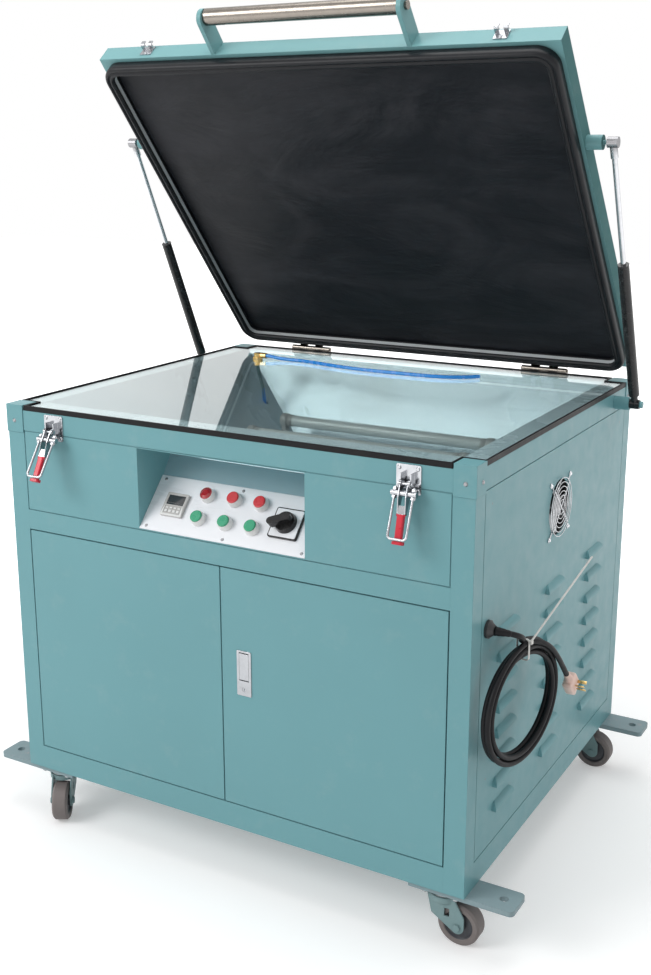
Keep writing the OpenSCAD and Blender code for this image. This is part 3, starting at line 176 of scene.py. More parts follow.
def painted(name, colour, rough=0.36, chips=0.0, edge=0.0012, metal=(0.33, 0.34, 0.35, 1), coat=0.06,
            shine=0.16):
    """Sprayed enamel on sheet steel: cloudy tone, orange peel, rounded edges, dust and small chips."""
    m = Nodes(name)
    clouds = m.noise(2.3, 4.0)
    dust = m.noise(14.0, 6.0, 0.7)
    tone = m.mix(clouds, darker(colour, 0.93), darker(colour, 1.06))
    tone = m.mix(m.span(dust, 0.55, 0.8, 0.0, 0.22), tone, m.mix(0.4, colour, (0.6, 0.6, 0.56, 1)))
    gloss = m.span(m.noise(30.0, 4.0), 0.3, 0.7, rough - 0.05, rough + 0.09)
    if chips:
        worn = m.ramp(m.noise(95.0, 8.0, 0.75), (0.66 - chips, 0.0), (0.68 - chips, 1.0))
        patch = m.ramp(m.noise(17.0, 3.0), (0.5, 0.0), (0.62, 1.0))
        worn = m.mix(1.0, worn, patch, "MULTIPLY")
        tone = m.mix(worn, tone, metal)
    peel = m.bump(m.noise(520.0, 2.0), 0.12, 0.0004, m.round_edges(edge))
    wave = m.bump(m.noise(7.0, 2.0), 0.10, 0.004, peel)
    m.set(Base_Color=tone, Roughness=gloss, Normal=wave)
    m.bsdf.inputs["Specular IOR Level"].default_value = shine
    m.bsdf.inputs["Coat Weight"].default_value = coat
    m.bsdf.inputs["Coat Roughness"].default_value = 0.16
    return m.mat


def metal(name, colour, rough, grain=None, smudge=0.08, edge=0.0005):
    """Plated or brushed metal: fine grain or polishing waves, smudges and dull spots."""
    m = Nodes(name)
    spots = m.noise(60.0, 6.0, 0.7)
    tone = m.mix(m.span(spots, 0.45, 0.8, 0.0, 0.5), colour, darker(colour, 0.62))
    m.set(Base_Color=tone, Roughness=m.span(m.noise(25.0, 5.0), 0.3, 0.75, rough, rough + smudge))
    m.bsdf.inputs["Metallic"].default_value = 1.0
    if grain:
        lines = m.noise(900.0, 2.0, vector=m.stretched(*grain))
        m.set(Normal=m.bump(lines, 0.25, 0.0002, m.round_edges(edge)))
    else:
        m.set(Normal=m.bump(m.noise(120.0, 2.0), 0.06, 0.0004, m.round_edges(edge)))
    return m.mat


def plastic(name, colour, rough=0.3, grain=0.05, dirt=0.1, coat=0.0, edge=0.0005, scale=700.0, shine=0.5):
    """Moulded plastic or rubber: fine moulded grain, uneven gloss and some grime."""
    m = Nodes(name)
    grime = m.span(m.noise(40.0, 6.0, 0.7), 0.5, 0.85, 0.0, dirt * 2.5)
    tone = m.mix(m.noise(9.0), darker(colour, 0.94), darker(colour, 1.05))
    tone = m.mix(grime, tone, m.mix(0.5, colour, (0.2, 0.19, 0.17, 1)))
    m.set(Base_Color=tone, Roughness=m.span(m.noise(80.0, 3.0), 0.3, 0.7, rough, rough + 0.12),
          Normal=m.bump(m.noise(scale, 2.0), grain * 4, 0.0002, m.round_edges(edge)))
    m.bsdf.inputs["Specular IOR Level"].default_value = shine
    m.bsdf.inputs["Coat Weight"].default_value = coat
    m.bsdf.inputs["Coat Roughness"].default_value = 0.08
    return m.mat


TEAL = srgb(113, 162, 168)
paint = painted("paint", TEAL)
paint_foot = painted("paint_foot", srgb(136, 156, 161), 0.46, chips=0.10)
paint_lid = painted("paint_lid", srgb(118, 165, 168), 0.34)
# Darker, duller copy of the lid paint for the lid's right-hand side: painted shade, since the real side has
# the same paint as the top
paint_lid_side = painted("paint_lid_side", srgb(84, 126, 127), 0.58, coat=0.0, shine=0.04)
paint_fork = painted("paint_fork", srgb(126, 152, 154), 0.42, chips=0.08)
chrome = metal("chrome", (0.58, 0.59, 0.61, 1), 0.07)
latch_chrome = metal("latch_chrome", (0.42, 0.43, 0.45, 1), 0.10, smudge=0.14)
screw_steel = metal("screw_steel", (0.30, 0.30, 0.31, 1), 0.28, smudge=0.2)
zinc = metal("zinc", (0.46, 0.47, 0.48, 1), 0.24, smudge=0.16)
stainless = metal("stainless", (0.24, 0.215, 0.19, 1), 0.22, grain=(0.02, 1, 1))
brass = metal("brass", (0.72, 0.50, 0.20, 1), 0.20)
black_gloss = plastic("black_gloss", (0.010, 0.010, 0.011, 1), 0.18, coat=0.15, shine=0.3)
black_matt = plastic("black_matt", (0.02, 0.02, 0.022, 1), 0.42, 0.12)
cord_black = plastic("cord_black", (0.005, 0.005, 0.0065, 1), 0.44, 0.10, dirt=0.04, scale=420.0, shine=0.2)
rubber = plastic("rubber", (0.004, 0.004, 0.005, 1), 0.46, 0.15, dirt=0.03, shine=0.2)
seal_rubber = plastic("seal_rubber", (0.008, 0.009, 0.0115, 1), 0.34, 0.12, dirt=0.05, shine=0.22)
# Pale grey for the seal's inner lip: a painted highlight on what is the same black rubber
lip_rubber = plastic("lip_rubber", (0.46, 0.48, 0.49, 1), 0.3, 0.06)
white_gloss = plastic("white_gloss", (0.78, 0.78, 0.77, 1), 0.22, 0.02)
nylon = plastic("nylon", (0.74, 0.73, 0.70, 1), 0.34, 0.06)
pink = plastic("plug_pink", srgb(238, 208, 196), 0.28, 0.03, dirt=0.14)
red = plastic("red", (0.62, 0.012, 0.035, 1), 0.26, 0.05)
red_cap = plastic("red_cap", (0.66, 0.035, 0.045, 1), 0.22, 0.02, coat=0.5)
green_cap = plastic("green_cap", (0.012, 0.34, 0.17, 1), 0.22, 0.02, coat=0.5)
blue_hose = plastic("blue_hose", (0.006, 0.27, 0.86, 1), 0.20, 0.02, dirt=0.04, coat=0.5)
grey_case = plastic("grey_case", srgb(186, 184, 182), 0.32, 0.06)
tread = plastic("tread", srgb(118, 110, 108), 0.5, 0.2, dirt=0.3, scale=260.0)
core = plastic("wheel_core", srgb(60, 62, 68), 0.35, 0.1, dirt=0.3)


def make_display():
    """The timer's dark, glossy window."""
    m = Nodes("display")
    m.set(Base_Color=m.mix(m.noise(300.0), (0.03, 0.035, 0.04, 1), (0.05, 0.055, 0.06, 1)))
    m.bsdf.inputs["Roughness"].default_value = 0.08
    m.bsdf.inputs["Coat Weight"].default_value = 0.6
    return m.mat


def make_lamp_red():
    """The pilot lamp's deep red lens."""
    m = Nodes("lamp_red")
    m.set(Base_Color=m.mix(m.noise(200.0), (0.32, 0.004, 0.008, 1), (0.5, 0.012, 0.02, 1)))
    m.bsdf.inputs["Roughness"].default_value = 0.06
    m.bsdf.inputs["Coat Weight"].default_value = 0.8
    return m.mat


def make_plate():
    """White-lacquered aluminium with faint wiping marks."""
    m = Nodes("control_white")
    wipes = m.noise(22.0, 5.0, 0.6, m.stretched(0.25, 1, 1))
    m.set(Base_Color=m.mix(wipes, (0.78, 0.80, 0.84, 1), (0.90, 0.91, 0.94, 1)),
          Roughness=m.span(wipes, 0.3, 0.7, 0.22, 0.36),
          Normal=m.bump(m.noise(600.0, 2.0), 0.1, 0.0002, m.round_edges(0.0006)))
    return m.mat


def make_mirror_sheet():
    """The niche's back: bright rolled sheet that gives a soft reflection of the buttons."""
    m = Nodes("niche_sheet")
    rolled = m.noise(5.0, 4.0, 0.6, m.stretched(0.3, 1, 1))
    m.set(Base_Color=m.mix(rolled, srgb(192, 212, 220), srgb(214, 228, 234)),
          Roughness=m.span(rolled, 0.3, 0.7, 0.06, 0.13),
          Normal=m.bump(m.noise(90.0, 3.0), 0.08, 0.0006))
    m.bsdf.inputs["Metallic"].default_value = 0.6
    return m.mat


def make_reflector():
    """The tray under the glass: pale polished sheet with cloudy patches."""
    m = Nodes("reflector")
    clouds = m.noise(3.5, 5.0, 0.6, distortion=0.6)
    m.set(Base_Color=m.ramp(clouds, (0.3, srgb(202, 219, 226)), (0.55, srgb(220, 232, 238)),
                            (0.75, srgb(236, 244, 247))),
          Roughness=m.span(clouds, 0.3, 0.7, 0.22, 0.4),
          Normal=m.bump(m.noise(11.0, 3.0), 0.16, 0.004))
    m.bsdf.inputs["Metallic"].default_value = 0.15
    return m.mat


def make_glass():
    """Float glass: clear and faintly green, and it lets the room's light straight through."""
    m = Nodes("bed_glass")
    m.set(Base_Color=m.mix(m.noise(3.0), (0.86, 0.95, 0.94, 1), (0.92, 0.98, 0.97, 1)),
          Roughness=m.span(m.noise(6.0, 5.0), 0.4, 0.8, 0.0, 0.03))
    m.bsdf.inputs["Transmission Weight"].default_value = 1.0
    m.bsdf.inputs["IOR"].default_value = 1.5
    path = m.tree.nodes.new("ShaderNodeLightPath")
    through = m.tree.nodes.new("ShaderNodeMath")
    through.operation = "MAXIMUM"
    m.put(through.inputs[0], path.outputs["Is Shadow Ray"])
    m.put(through.inputs[1], path.outputs["Is Diffuse Ray"])
    clear = m.add("ShaderNodeBsdfTransparent", Color=(0.90, 0.95, 0.95, 1))
    pick = m.tree.nodes.new("ShaderNodeMixShader")
    m.put(pick.inputs[0], through.outputs[0])
    m.put(pick.inputs[1], m.bsdf.outputs[0])
    m.put(pick.inputs[2], clear.outputs[0])
    m.put(m.tree.nodes["Material Output"].inputs["Surface"], pick.outputs[0])
    return m.mat


def make_lamp_glass():
    """Phosphor-coated tube, whitish with a streaky tone along its length."""
    m = Nodes("lamp_glass")
    m.set(Base_Color=m.mix(m.noise(12.0, 3.0, vector=m.stretched(0.3, 1, 1)), (0.62, 0.64, 0.62, 1),
                           (0.80, 0.81, 0.80, 1)))
    m.bsdf.inputs["Roughness"].default_value = 0.12
    m.bsdf.inputs["Coat Weight"].default_value = 0.7
    return m.mat


def make_blanket():
    """Black rubber sheet: chalky bloom in streaks and a fine calendered grain."""
    m = Nodes("blanket_rubber")
    streaks = m.noise(34.0, 7.0, 0.7, m.stretched(0.16, 1, 1))
    bloom = m.noise(4.2, 6.0, 0.62, m.stretched(0.6, 1, 1), distortion=1.6)
    tone = m.mix(streaks, (0.0035, 0.0045, 0.0065, 1), (0.010, 0.011, 0.015, 1))
    streaky = m.mix(streaks, (0.3, 0.3, 0.3, 1), (1, 1, 1, 1))
    chalk = m.mix(m.span(bloom, 0.44, 0.70, 0.0, 1.0), (0, 0, 0, 1), streaky)
    tone = m.mix(chalk, tone, (0.036, 0.036, 0.042, 1))
    fine = m.bump(m.noise(1500.0, 2.0), 0.22, 0.0002)
    folds = m.bump(m.noise(7.0, 4.0, 0.6, m.stretched(0.45, 1, 1), distortion=1.0), 0.5, 0.012, fine)
    m.set(Base_Color=tone, Roughness=m.span(bloom, 0.3, 0.8, 0.42, 0.62),
          Normal=m.bump(m.noise(60.0, 3.0, vector=m.stretched(0.2, 1, 1)), 0.3, 0.0012, folds))
    m.bsdf.inputs["Specular IOR Level"].default_value = 0.2
    return m.mat


display, lamp_red, control_white = make_display(), make_lamp_red(), make_plate()
niche_sheet, reflector, bed_glass = make_mirror_sheet(), make_reflector(), make_glass()
lamp_glass, blanket_rubber = make_lamp_glass(), make_blanket()


# ---------------------------------------------------------------- CAD nodes
def dress(name, *mats, pick=None):
    """Gives a CAD node its materials; pick(centre, normal) says which one a face takes."""
    mesh = nodes[name].data
    mesh.materials.clear()
    for m in mats:
        mesh.materials.append(m)
    for p in mesh.polygons:
        p.material_index = pick(p.center * 1000, p.normal) if pick else 0


def cab(p):
    """Row-frame millimetres to cabinet millimetres."""
    return p.x, p.y + MID_Y, p.z - BASE


def on_plate(p):
    """Row-frame millimetres to the control plate's u, v and n."""
    x, y, z = cab(p)
    dy, dz = y - PLATE_FOOT[0], z - PLATE_FOOT[1]
    c, s = math.cos(PLATE_TILT), math.sin(PLATE_TILT)
    return x, dy * c + dz * s, -dy * s + dz * c


for name in ("frame", "left_side_panel", "right_side_panel", "back_panel", "floor_panel", "door_left"):
    dress(name, paint)
dress("corner_caps", paint, screw_steel, pick=lambda p, n: int(
    abs(cab(p)[1]) > 425.2 or abs(p.x) > 500.2))


def lock_part(p, n):
    """The lock's plate on the door's face and the lock's body behind the door."""
    x, y, z = cab(p)
    plate = 30 < x < 70 and 280 < z < 380 and y < -423.55
    return int(plate or y > -423 and abs(x - 50) < 14)


dress("door_right", paint, latch_chrome, pick=lock_part)
dress("fascia_panel", paint, niche_sheet, pick=lambda p, n: int(
    abs(p.x) < 182 and cab(p)[1] > -370 and n.y < -0.2))
dress("light_box", reflector)
dress("glass_plate", bed_glass)
dress("glass_gasket", rubber)
PLATE_SCREWS = ((-168, 8), (5, 7), (172, 8), (-168, 109), (8, 109), (172, 109))


def plate_part(p, n):
    """The screw heads on the control plate."""
    u, v, d = on_plate(p)
    return int(d > 2.4 and any(math.hypot(u - su, v - sv) < 4 for su, sv in PLATE_SCREWS))


dress("control_plate", control_white, screw_steel, pick=plate_part)


def timer_part(p, n):
    """The timer's window and its white keys."""
    u, v, d = on_plate(p)
    if abs(u + 122) < 19.2 and 58 < v < 76 and d > 7.0 and n.dot(Vector((0, -0.736, 0.677))) > 0.5:
        return 1
    return 2 if v < 50 and d > 8.2 else 0


dress("timer", grey_case, display, white_gloss, pick=timer_part)


def control_part(p, n):
    """Right of u 90 the cam switch, at u -60 the pilot lamp, and else the buttons' bezels."""
    u, v, d = on_plate(p)
    if u > 90:
        return 3 if d > 6.45 else 1
    if abs(u + 60) < 16 and v > 62:
        return 2 if d > 6 and math.hypot(u + 60, v - 87) < 12.2 else 0
    return 0 if d > 1.5 else 1


dress("panel_controls", white_gloss, black_gloss, lamp_red, control_white, pick=control_part)
for name in ("red_button_middle", "red_button_right"):
    dress(name, red_cap)
for name in ("green_button_left", "green_button_middle", "green_button_right"):
    dress(name, green_cap)
dress("switch_knob", black_gloss)
dress("fan_frame", black_matt)
dress("fan_rotor", zinc)
dress("fan_guard", chrome)
dress("caster_mounts", paint_foot, zinc, pick=lambda p, n: int(cab(p)[2] < -10.02))
dress("hinge_lower_leaves", stainless)
dress("hinge_upper_leaves", stainless)
dress("latch_bases", latch_chrome)
dress("latch_hooks", latch_chrome)
dress("pump_and_ballasts", paint_fork, blue_hose, pick=lambda p, n: int(
    math.hypot(p.x + 347, cab(p)[1] - 287) < 7))
dress("vacuum_fitting", brass)
dress("cable_gland", black_matt)
dress("lock_paddle", latch_chrome)
# The faces facing +x at the lid's right end take the darker copy: painted shade
dress("lid_pan", paint_lid, paint_lid_side, pick=lambda p, n: int(n.x > 0.9 and p.x > 490))
dress("handle_bar", stainless)
for side, lean in (("left", math.radians(28)), ("right", math.radians(14))):
    dress("strut_cylinder_" + side, black_gloss)
    rod_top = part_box("strut_rod_" + side)[1][2] * 1000
    dress("strut_rod_" + side, chrome, screw_steel, pick=lambda p, n, top=rod_top: int(p.z > top - 30))
    dress("latch_bail_" + side, latch_chrome)
    # The grip is what lies beyond 51 mm down the lever from its pin
    dress("latch_lever_" + side, latch_chrome, red, pick=lambda p, n, a=lean: int(
        -(cab(p)[1] + 437.55) * math.sin(a) - (cab(p)[2] - 738) * math.cos(a) > 51))
for corner in ("front_left", "front_right", "back_left", "back_right"):
    dress("caster_fork_" + corner, paint_fork)
    lo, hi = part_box("caster_wheel_" + corner)
    mid = Vector([(a + b) / 2 for a, b in zip(lo, hi)]) * 1000
    dress("caster_wheel_" + corner, tread, core, pick=lambda p, n, m=mid: int((p - m).length < 31.5))


# ---------------------------------------------------------------- helpers for pieces
def link(name, data, body, mats):
    ob = bpy.data.objects.new(name, data)
    bpy.context.collection.objects.link(ob)
    for m in mats:
        data.materials.append(m)
    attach(ob, body)
    return ob


def piece(name, verts, faces, body, mats, smooth=True, index=None):
    mesh = bpy.data.meshes.new(name)
    mesh.from_pydata([tuple(v) for v in verts], [], faces)
    mesh.polygons.foreach_set("use_smooth", [smooth] * len(mesh.polygons))
    mesh.update()
    ob = link(name, mesh, body, mats)
    if index:
        for p in mesh.polygons:
            p.material_index = index(p)
    return ob


def catmull(points, step):
    """Points on a smooth curve through the given ones, about step apart."""
    pts = [2 * points[0] - points[1], *points, 2 * points[-1] - points[-2]]
    out = []
    for a, b, c, d in zip(pts, pts[1:], pts[2:], pts[3:]):
        n = max(1, round((c - b).length / step))
        for i in range(n):
            t = i / n
            out.append(0.5 * (2 * b + (c - a) * t + (2 * a - 5 * b + 4 * c - d) * t * t
                              + (3 * b - a - 3 * c + d) * t ** 3))
    return out + [points[-1]]


def length_of(points):
    return sum((b - a).length for a, b in zip(points, points[1:]))


def cord_curve(name, points, radius, body, mat):
    curve = bpy.data.curves.new(name, "CURVE")
    curve.dimensions = "3D"
    curve.bevel_depth = radius
    curve.bevel_resolution = 5
    curve.use_fill_caps = True
    spline = curve.splines.new("POLY")
    spline.points.add(len(points) - 1)
    for p, q in zip(spline.points, points):
        p.co = (*q, 1)
    spline.use_smooth = True
    return link(name, curve, body, [mat])


def revolve(profile, place, steps=24):
    """Verts and faces of (along, radius) rings; place(along, y, z) puts a point in the frame."""
    verts, faces = [], []
    for a, r in profile:
        for k in range(steps):
            t = 2 * math.pi * k / steps
            verts.append(place(a, r * math.cos(t), r * math.sin(t)))
    for i in range(len(profile) - 1):
        for k in range(steps):
            j = (k + 1) % steps
            faces.append((i * steps + k, i * steps + j, (i + 1) * steps + j, (i + 1) * steps + k))
    faces.append(tuple(range(steps - 1, -1, -1)))
    faces.append(tuple((len(profile) - 1) * steps + k for k in range(steps)))
    return verts, faces


def merge(parts):
    verts, faces = [], []
    for v, f in parts:
        faces += [tuple(i + len(verts) for i in q) for q in f]
        verts += list(v)
    return verts, faces


def rounded_box(size, radius, place, steps=3):
    """A box of the given size whose edges are all rounded; place(x, y, z) puts a point."""
    hx, hy, hz = (s / 2 for s in size)
    ring = []
    for qx, qy, start in ((1, 1, 0), (-1, 1, 90), (-1, -1, 180), (1, -1, 270)):
        for i in range(steps + 1):
            t = math.radians(start + 90 * i / steps)
            ring.append((qx * (hx - radius), qy * (hy - radius), math.cos(t), math.sin(t)))
    verts, rows = [], []
    for sign in (-1, 1):
        for i in range(steps + 1):
            t = math.radians(90 * i / steps)
            k = math.sin(t) if sign < 0 else math.cos(t)
            z = -(hz - radius) - radius * math.cos(t) if sign < 0 else hz - radius + radius * math.sin(t)
            rows.append([len(verts) + j for j in range(len(ring))])
            verts += [place(cx + radius * k * dx, cy + radius * k * dy, z) for cx, cy, dx, dy in ring]
    n = len(ring)
    faces = [tuple(reversed(rows[0])), tuple(rows[-1])]
    for a, b in zip(rows, rows[1:]):
        faces += [(a[k], a[(k + 1) % n], b[(k + 1) % n], b[k]) for k in range(n)]
    return verts, faces


# ---------------------------------------------------------------- mains cord
COIL_AT, COIL_R, PITCH, TURNS = (540.0, -293.0, 330.0), 100.0, 11.0, 4
COIL_OVAL = 1.14                       # width of a turn over its height
COIL_TURN = math.radians(8)
across = Vector((math.sin(COIL_TURN), math.cos(COIL_TURN), 0))
normal = Vector((math.cos(COIL_TURN), -math.sin(COIL_TURN), 0))


def coil_point(u):
    """The coil's centre line after u turns: two layers, each winding outwards by the pitch."""
    r = COIL_R + PITCH * (abs(u - TURNS / 2) - TURNS / 4)
    s = min(max((u - TURNS / 2) * 2 + 0.5, 0), 1)
    layer = PITCH * (s * s * (3 - 2 * s) - 0.5)
    a = 2 * math.pi * u
    q = (Vector(COIL_AT) + r * COIL_OVAL * math.sin(a) * across
         + r * math.cos(a) * Vector((0, 0, 1)) + layer * normal)
    return P(*q)


lead = [P(*q) for q in ((512.5, -357, 480), (526.8, -354.3, 479), (537.5, -347.6, 476.2),
                        (544.6, -339, 472), (548.2, -329.6, 466.9), (548.4, -320.4, 461.7),
                        (546.1, -312.3, 456.7),
                        (542.3, -305.5, 452.2), (538.6, -298.6, 447.9), (536.5, -290.4, 443.9),
                        (536.2, -281.2, 440.9), (537.4, -271, 439.1))]
tail = [P(*q) for q in ((548, -280, 440), (555, -262, 435.5), (562, -243, 426), (567, -224, 412),
                        (569, -205, 395), (570, -186, 376.5), (570, -167, 357.5), (570, -148, 338),
                        (570, -131, 320.5))]
coil = [coil_point(i / 48) for i in range(3, 48 * TURNS + 1)]
cord_points = catmull(lead + coil + tail, 0.004)
mains_cord = cord_curve("mains_cord", cord_points, 0.005, "cabinet", cord_black)
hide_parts("mains_lead", "mains_coil", "mains_tail")

# Tapered rubber sleeve where the lead leaves the gland
SLEEVE_SIDES = 20
sleeve_path = cord_points[:8]
sleeve_len = length_of(sleeve_path)


def sleeve_ring(i):
    """Ring number i round the lead; the sleeve narrows towards its end."""
    a = sleeve_path[max(i - 1, 0)]
    b = sleeve_path[min(i + 1, len(sleeve_path) - 1)]
    along = (b - a).normalized()
    s1 = along.cross(Vector((0, 0, 1))).normalized()
    s2 = along.cross(s1)
    radius = 0.0086 - 0.0032 * length_of(sleeve_path[:i + 1]) / sleeve_len - (0.0005 if i % 2 else 0)
    return [sleeve_path[i] + radius * (math.cos(t) * s1 + math.sin(t) * s2)
            for t in (2 * math.pi * k / SLEEVE_SIDES for k in range(SLEEVE_SIDES))]


rings = [sleeve_ring(i) for i in range(len(sleeve_path))]
verts = [q for ring in rings for q in ring]
n = SLEEVE_SIDES
faces = [(i * n + k, i * n + (k + 1) % n, (i + 1) * n + (k + 1) % n, (i + 1) * n + k)
         for i in range(len(rings) - 1) for k in range(n)]
faces += [tuple(range(n - 1, -1, -1)), tuple((len(rings) - 1) * n + k for k in range(n))]
sleeve = piece("lead_sleeve", verts, faces, "cabinet", [cord_black])

# The plug hangs on the tail's end: strain relief, two-shell body with ribs, three brass pins
PLUG_TILT = math.radians(46)


def plug_at(x, y, z):
    """Plug millimetres, y along its length, to the frame."""
    c, s = math.cos(PLUG_TILT), math.sin(PLUG_TILT)
    return P(570 + x, -131 + y * c + z * s, 320.5 - y * s + z * c)


# (along the plug, radius): soft ribs that widen towards the body
RELIEF = [(-14, 5.1), (-13.6, 5.7), (-10.4, 6.0), (-10.2, 5.4), (-8.8, 5.4), (-8.6, 6.2), (-5.6, 6.5),
          (-5.4, 5.9), (-4.0, 5.9), (-3.8, 6.8), (-0.8, 7.1), (-0.6, 6.4), (0.8, 6.4), (1.0, 7.3),
          (4.2, 7.6), (4.4, 6.8), (5.8, 6.8), (6.0, 7.8), (9.5, 8.0)]
relief = revolve(RELIEF, lambda a, y, z: plug_at(y, a, z))
shell = rounded_box((20.5, 33, 37.5), 5.0, lambda x, y, z: plug_at(x, 27 + z, y))
ribs = [rounded_box((22, 26, 2.2), 0.9, lambda x, y, z, k=k: plug_at(x, 14 + 4.2 * k + z, y))
        for k in range(5)]
verts, faces = merge([relief, shell, *ribs])
plug = piece("plug_body", verts, faces, "cabinet", [pink])
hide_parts("mains_plug")
pins = []
for across_pin, height in ((-8, -5), (8, -5), (0, 7)):
    size = (6.3, 1.6, 17.6) if height < 0 else (1.6, 6.3, 17.6)
    pins.append(rounded_box(size, 0.7, lambda x, y, z, a=across_pin, h=height: plug_at(
        19.6 + z, 28 + a * 0.9 + x, h + y)))
verts, faces = merge(pins)
prongs = piece("plug_pins", verts, faces, "cabinet", [brass])
dress("cable_tie", nylon)

# ---------------------------------------------------------------- suction hose on the glass
route = ((-326, 262, 787.0), (-318, 262, 787.0), (-290, 264, 783.5), (-262, 266, 782.2),
         (-236, 266, 782.2), (-200, 261, 782.2), (-160, 251, 782.2), (-120, 242, 782.2),
         (-80, 236, 782.2), (-40, 233, 782.2), (0, 232, 782.2), (40, 233, 782.2), (80, 234, 782.2),
         (115, 236, 782.2), (145, 242, 782.2), (170, 254, 782.2), (190, 268, 782.2), (206, 283, 782.2))
hose_points = catmull([P(*q) for q in route], 0.004)
hose = cord_curve("loose_hose", hose_points, 0.004, "cabinet", blue_hose)
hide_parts("suction_hose")

# ---------------------------------------------------------------- lid: blanket and seal
LID_W, LID_FRONT, LID_BACK, LID_LOW = 985.0, -415.0, 423.5, 805.5
LID_MID, LID_D = (LID_FRONT + LID_BACK) / 2, LID_BACK - LID_FRONT
SEAL_IN, SEAL_R, SEAL_LOW, BLANKET_T = 6.0, 40.0, 780.6, 2.5


def loop_rect(w, d, r, steps=10):
    """Points round a rectangle with round corners, each with its outward direction."""
    out = []
    for qx, qy, start in ((1, 1, 0), (-1, 1, 90), (-1, -1, 180), (1, -1, 270)):
        for i in range(steps + 1):
            t = math.radians(start + 90 * i / steps)
            out.append((qx * (w / 2 - r) + r * math.cos(t), qy * (d / 2 - r) + r * math.sin(t),
                        math.cos(t), math.sin(t)))
    return out


def make_blanket_sheet():
    """A stretched sheet with shallow pulls from its corners; the edge lies in the clamp."""
    w, d = LID_W - 2 * SEAL_IN - 6, LID_D - 2 * SEAL_IN - 6
    nx, ny = 120, 102
    top = LID_LOW - 0.1
    verts, faces = [], []
    for j in range(ny + 1):
        for i in range(nx + 1):
            x, y = w * (i / nx - 0.5), d * (j / ny - 0.5)
            inset = min(w / 2 - abs(x), d / 2 - abs(y))
            free = min(max((inset - 26) / 70, 0), 1)
            free = free * free * (3 - 2 * free)
            q = Vector((x / 260, y / 90, 0.3))
            pull = noise.fractal(q, 0.9, 2.0, 4)
            diagonal = math.sin((x + w / 2) / 34 + (y - d / 2) / 21) * math.exp(
                -math.hypot(x + w / 2, y + d / 2) / 330)
            sag = free * (1.7 + 1.9 * pull + 1.5 * diagonal)
            verts.append((x, y, sag))
    for j in range(ny):
        for i in range(nx):
            a = j * (nx + 1) + i
            faces.append((a, a + 1, a + nx + 2, a + nx + 1))
    # Cut the corners round by pulling the outer points onto the rounded outline
    r = SEAL_R - 3
    out = []
    for x, y, s in verts:
        cx, cy = max(abs(x) - (w / 2 - r), 0), max(abs(y) - (d / 2 - r), 0)
        far = math.hypot(cx, cy)
        if cx > 0 and cy > 0:
            k = max(cx, cy) / far
            x = math.copysign(w / 2 - r + cx * k, x)
            y = math.copysign(d / 2 - r + cy * k, y)
        out.append((x, y, s))
    verts = [L(x, LID_MID + y, top - 1.3 - s) for x, y, s in out]
    ob = piece("rubber_blanket", verts, faces, "lid", [blanket_rubber])
    thick = ob.modifiers.new("thick", "SOLIDIFY")
    thick.thickness = 0.0012
    thick.offset = 0
    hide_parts("blanket")
    return ob


make_blanket_sheet()


# The pale lip face carries a painted highlight along the seal's inner edge
LIP_FACE = 12                          # the section's face that shows as the pale lip


def make_seal():
    """Moulded rubber strip: flat foot, two soft humps with a groove between, and a thin inner lip."""
    foot = LID_LOW - BLANKET_T - 0.2
    low = SEAL_LOW
    # (distance in from the strip's outer edge, height)
    section = [(0, foot), (0, low + 8), (0.8, low + 4.6), (3.0, low + 1.6), (6.0, low + 0.2),
               (8.6, low + 0.9), (10.2, low + 3.4), (11.8, low + 3.6), (13.4, low + 1.2),
               (16.0, low + 0.2), (18.6, low + 1.4), (20.3, low + 4.4),
               (20.8, low + 8), (21.0, foot - 6), (21.9, foot - 4), (22, foot)]
    w, d = LID_W - 2 * SEAL_IN, LID_D - 2 * SEAL_IN
    n = len(section)
    rings = loop_rect(w, d, SEAL_R)
    verts = []
    for x, y, dx, dy in rings:
        verts += [L(x - dx * s, LID_MID + y - dy * s, z) for s, z in section]
    m = len(rings)
    faces = []
    for i in range(m):
        for k in range(n):
            a, b = i * n + k, i * n + (k + 1) % n
            c, e = ((i + 1) % m) * n + (k + 1) % n, ((i + 1) % m) * n + k
            faces.append((a, b, c, e))
    # The lip face takes the pale grey: a painted highlight along the seal's inner edge
    ob = piece("seal_strip", verts, faces, "lid", [seal_rubber, lip_rubber],
               index=lambda p: int(p.index % n == LIP_FACE))
    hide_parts("blanket_seal")
    return ob


make_seal()

# ---------------------------------------------------------------- lamps
LAMP_Z, LAMP_ROWS = 640.0, (235, 90, -55)


def make_lamps():
    glass_parts, metal_parts = [], []
    for y0 in LAMP_ROWS:
        def at(a, y, z, y0=y0):
            return P(a, y0 + y, LAMP_Z + z)
        tube = [(-244, 9), (-242, 12), (-238, 12.9), (238, 12.9), (242, 12), (244, 9)]
        glass_parts.append(revolve(tube, at, 32))
        for s in (-1, 1):
            metal_parts.append(revolve([(s * a, r) for a, r in (
                (236, 12.6), (236.2, 13.6), (240, 13.7), (241, 13.2), (248, 13.2), (248.5, 12.5),
                (249, 15.4), (251, 16), (263, 16), (265, 15), (265.5, 10))], at, 32))
            metal_parts.append(rounded_box((12, 20, 49), 2.0, lambda x, y, z, s=s, y0=y0: P(
                s * 258 + x, y0 + y, LAMP_Z - 28.2 + z)))
    verts, faces = merge(glass_parts)
    tubes = piece("lamp_tubes", verts, faces, "cabinet", [lamp_glass])
    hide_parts("uv_lamps")
    verts, faces = merge(metal_parts)
    piece("lamp_holders", verts, faces, "cabinet", [grey_case])


make_lamps()


# ---------------------------------------------------------------- small parts
def screw(place, r=3.6, h=1.8):
    """A pan head with a shallow round dish in it; place(a, y, z) with a outwards."""
    return revolve([(0, r), (h * 0.35, r), (h * 0.75, r * 0.82), (h, r * 0.5), (h * 0.98, r * 0.34),
                    (h * 0.55, r * 0.12)], place, 16)


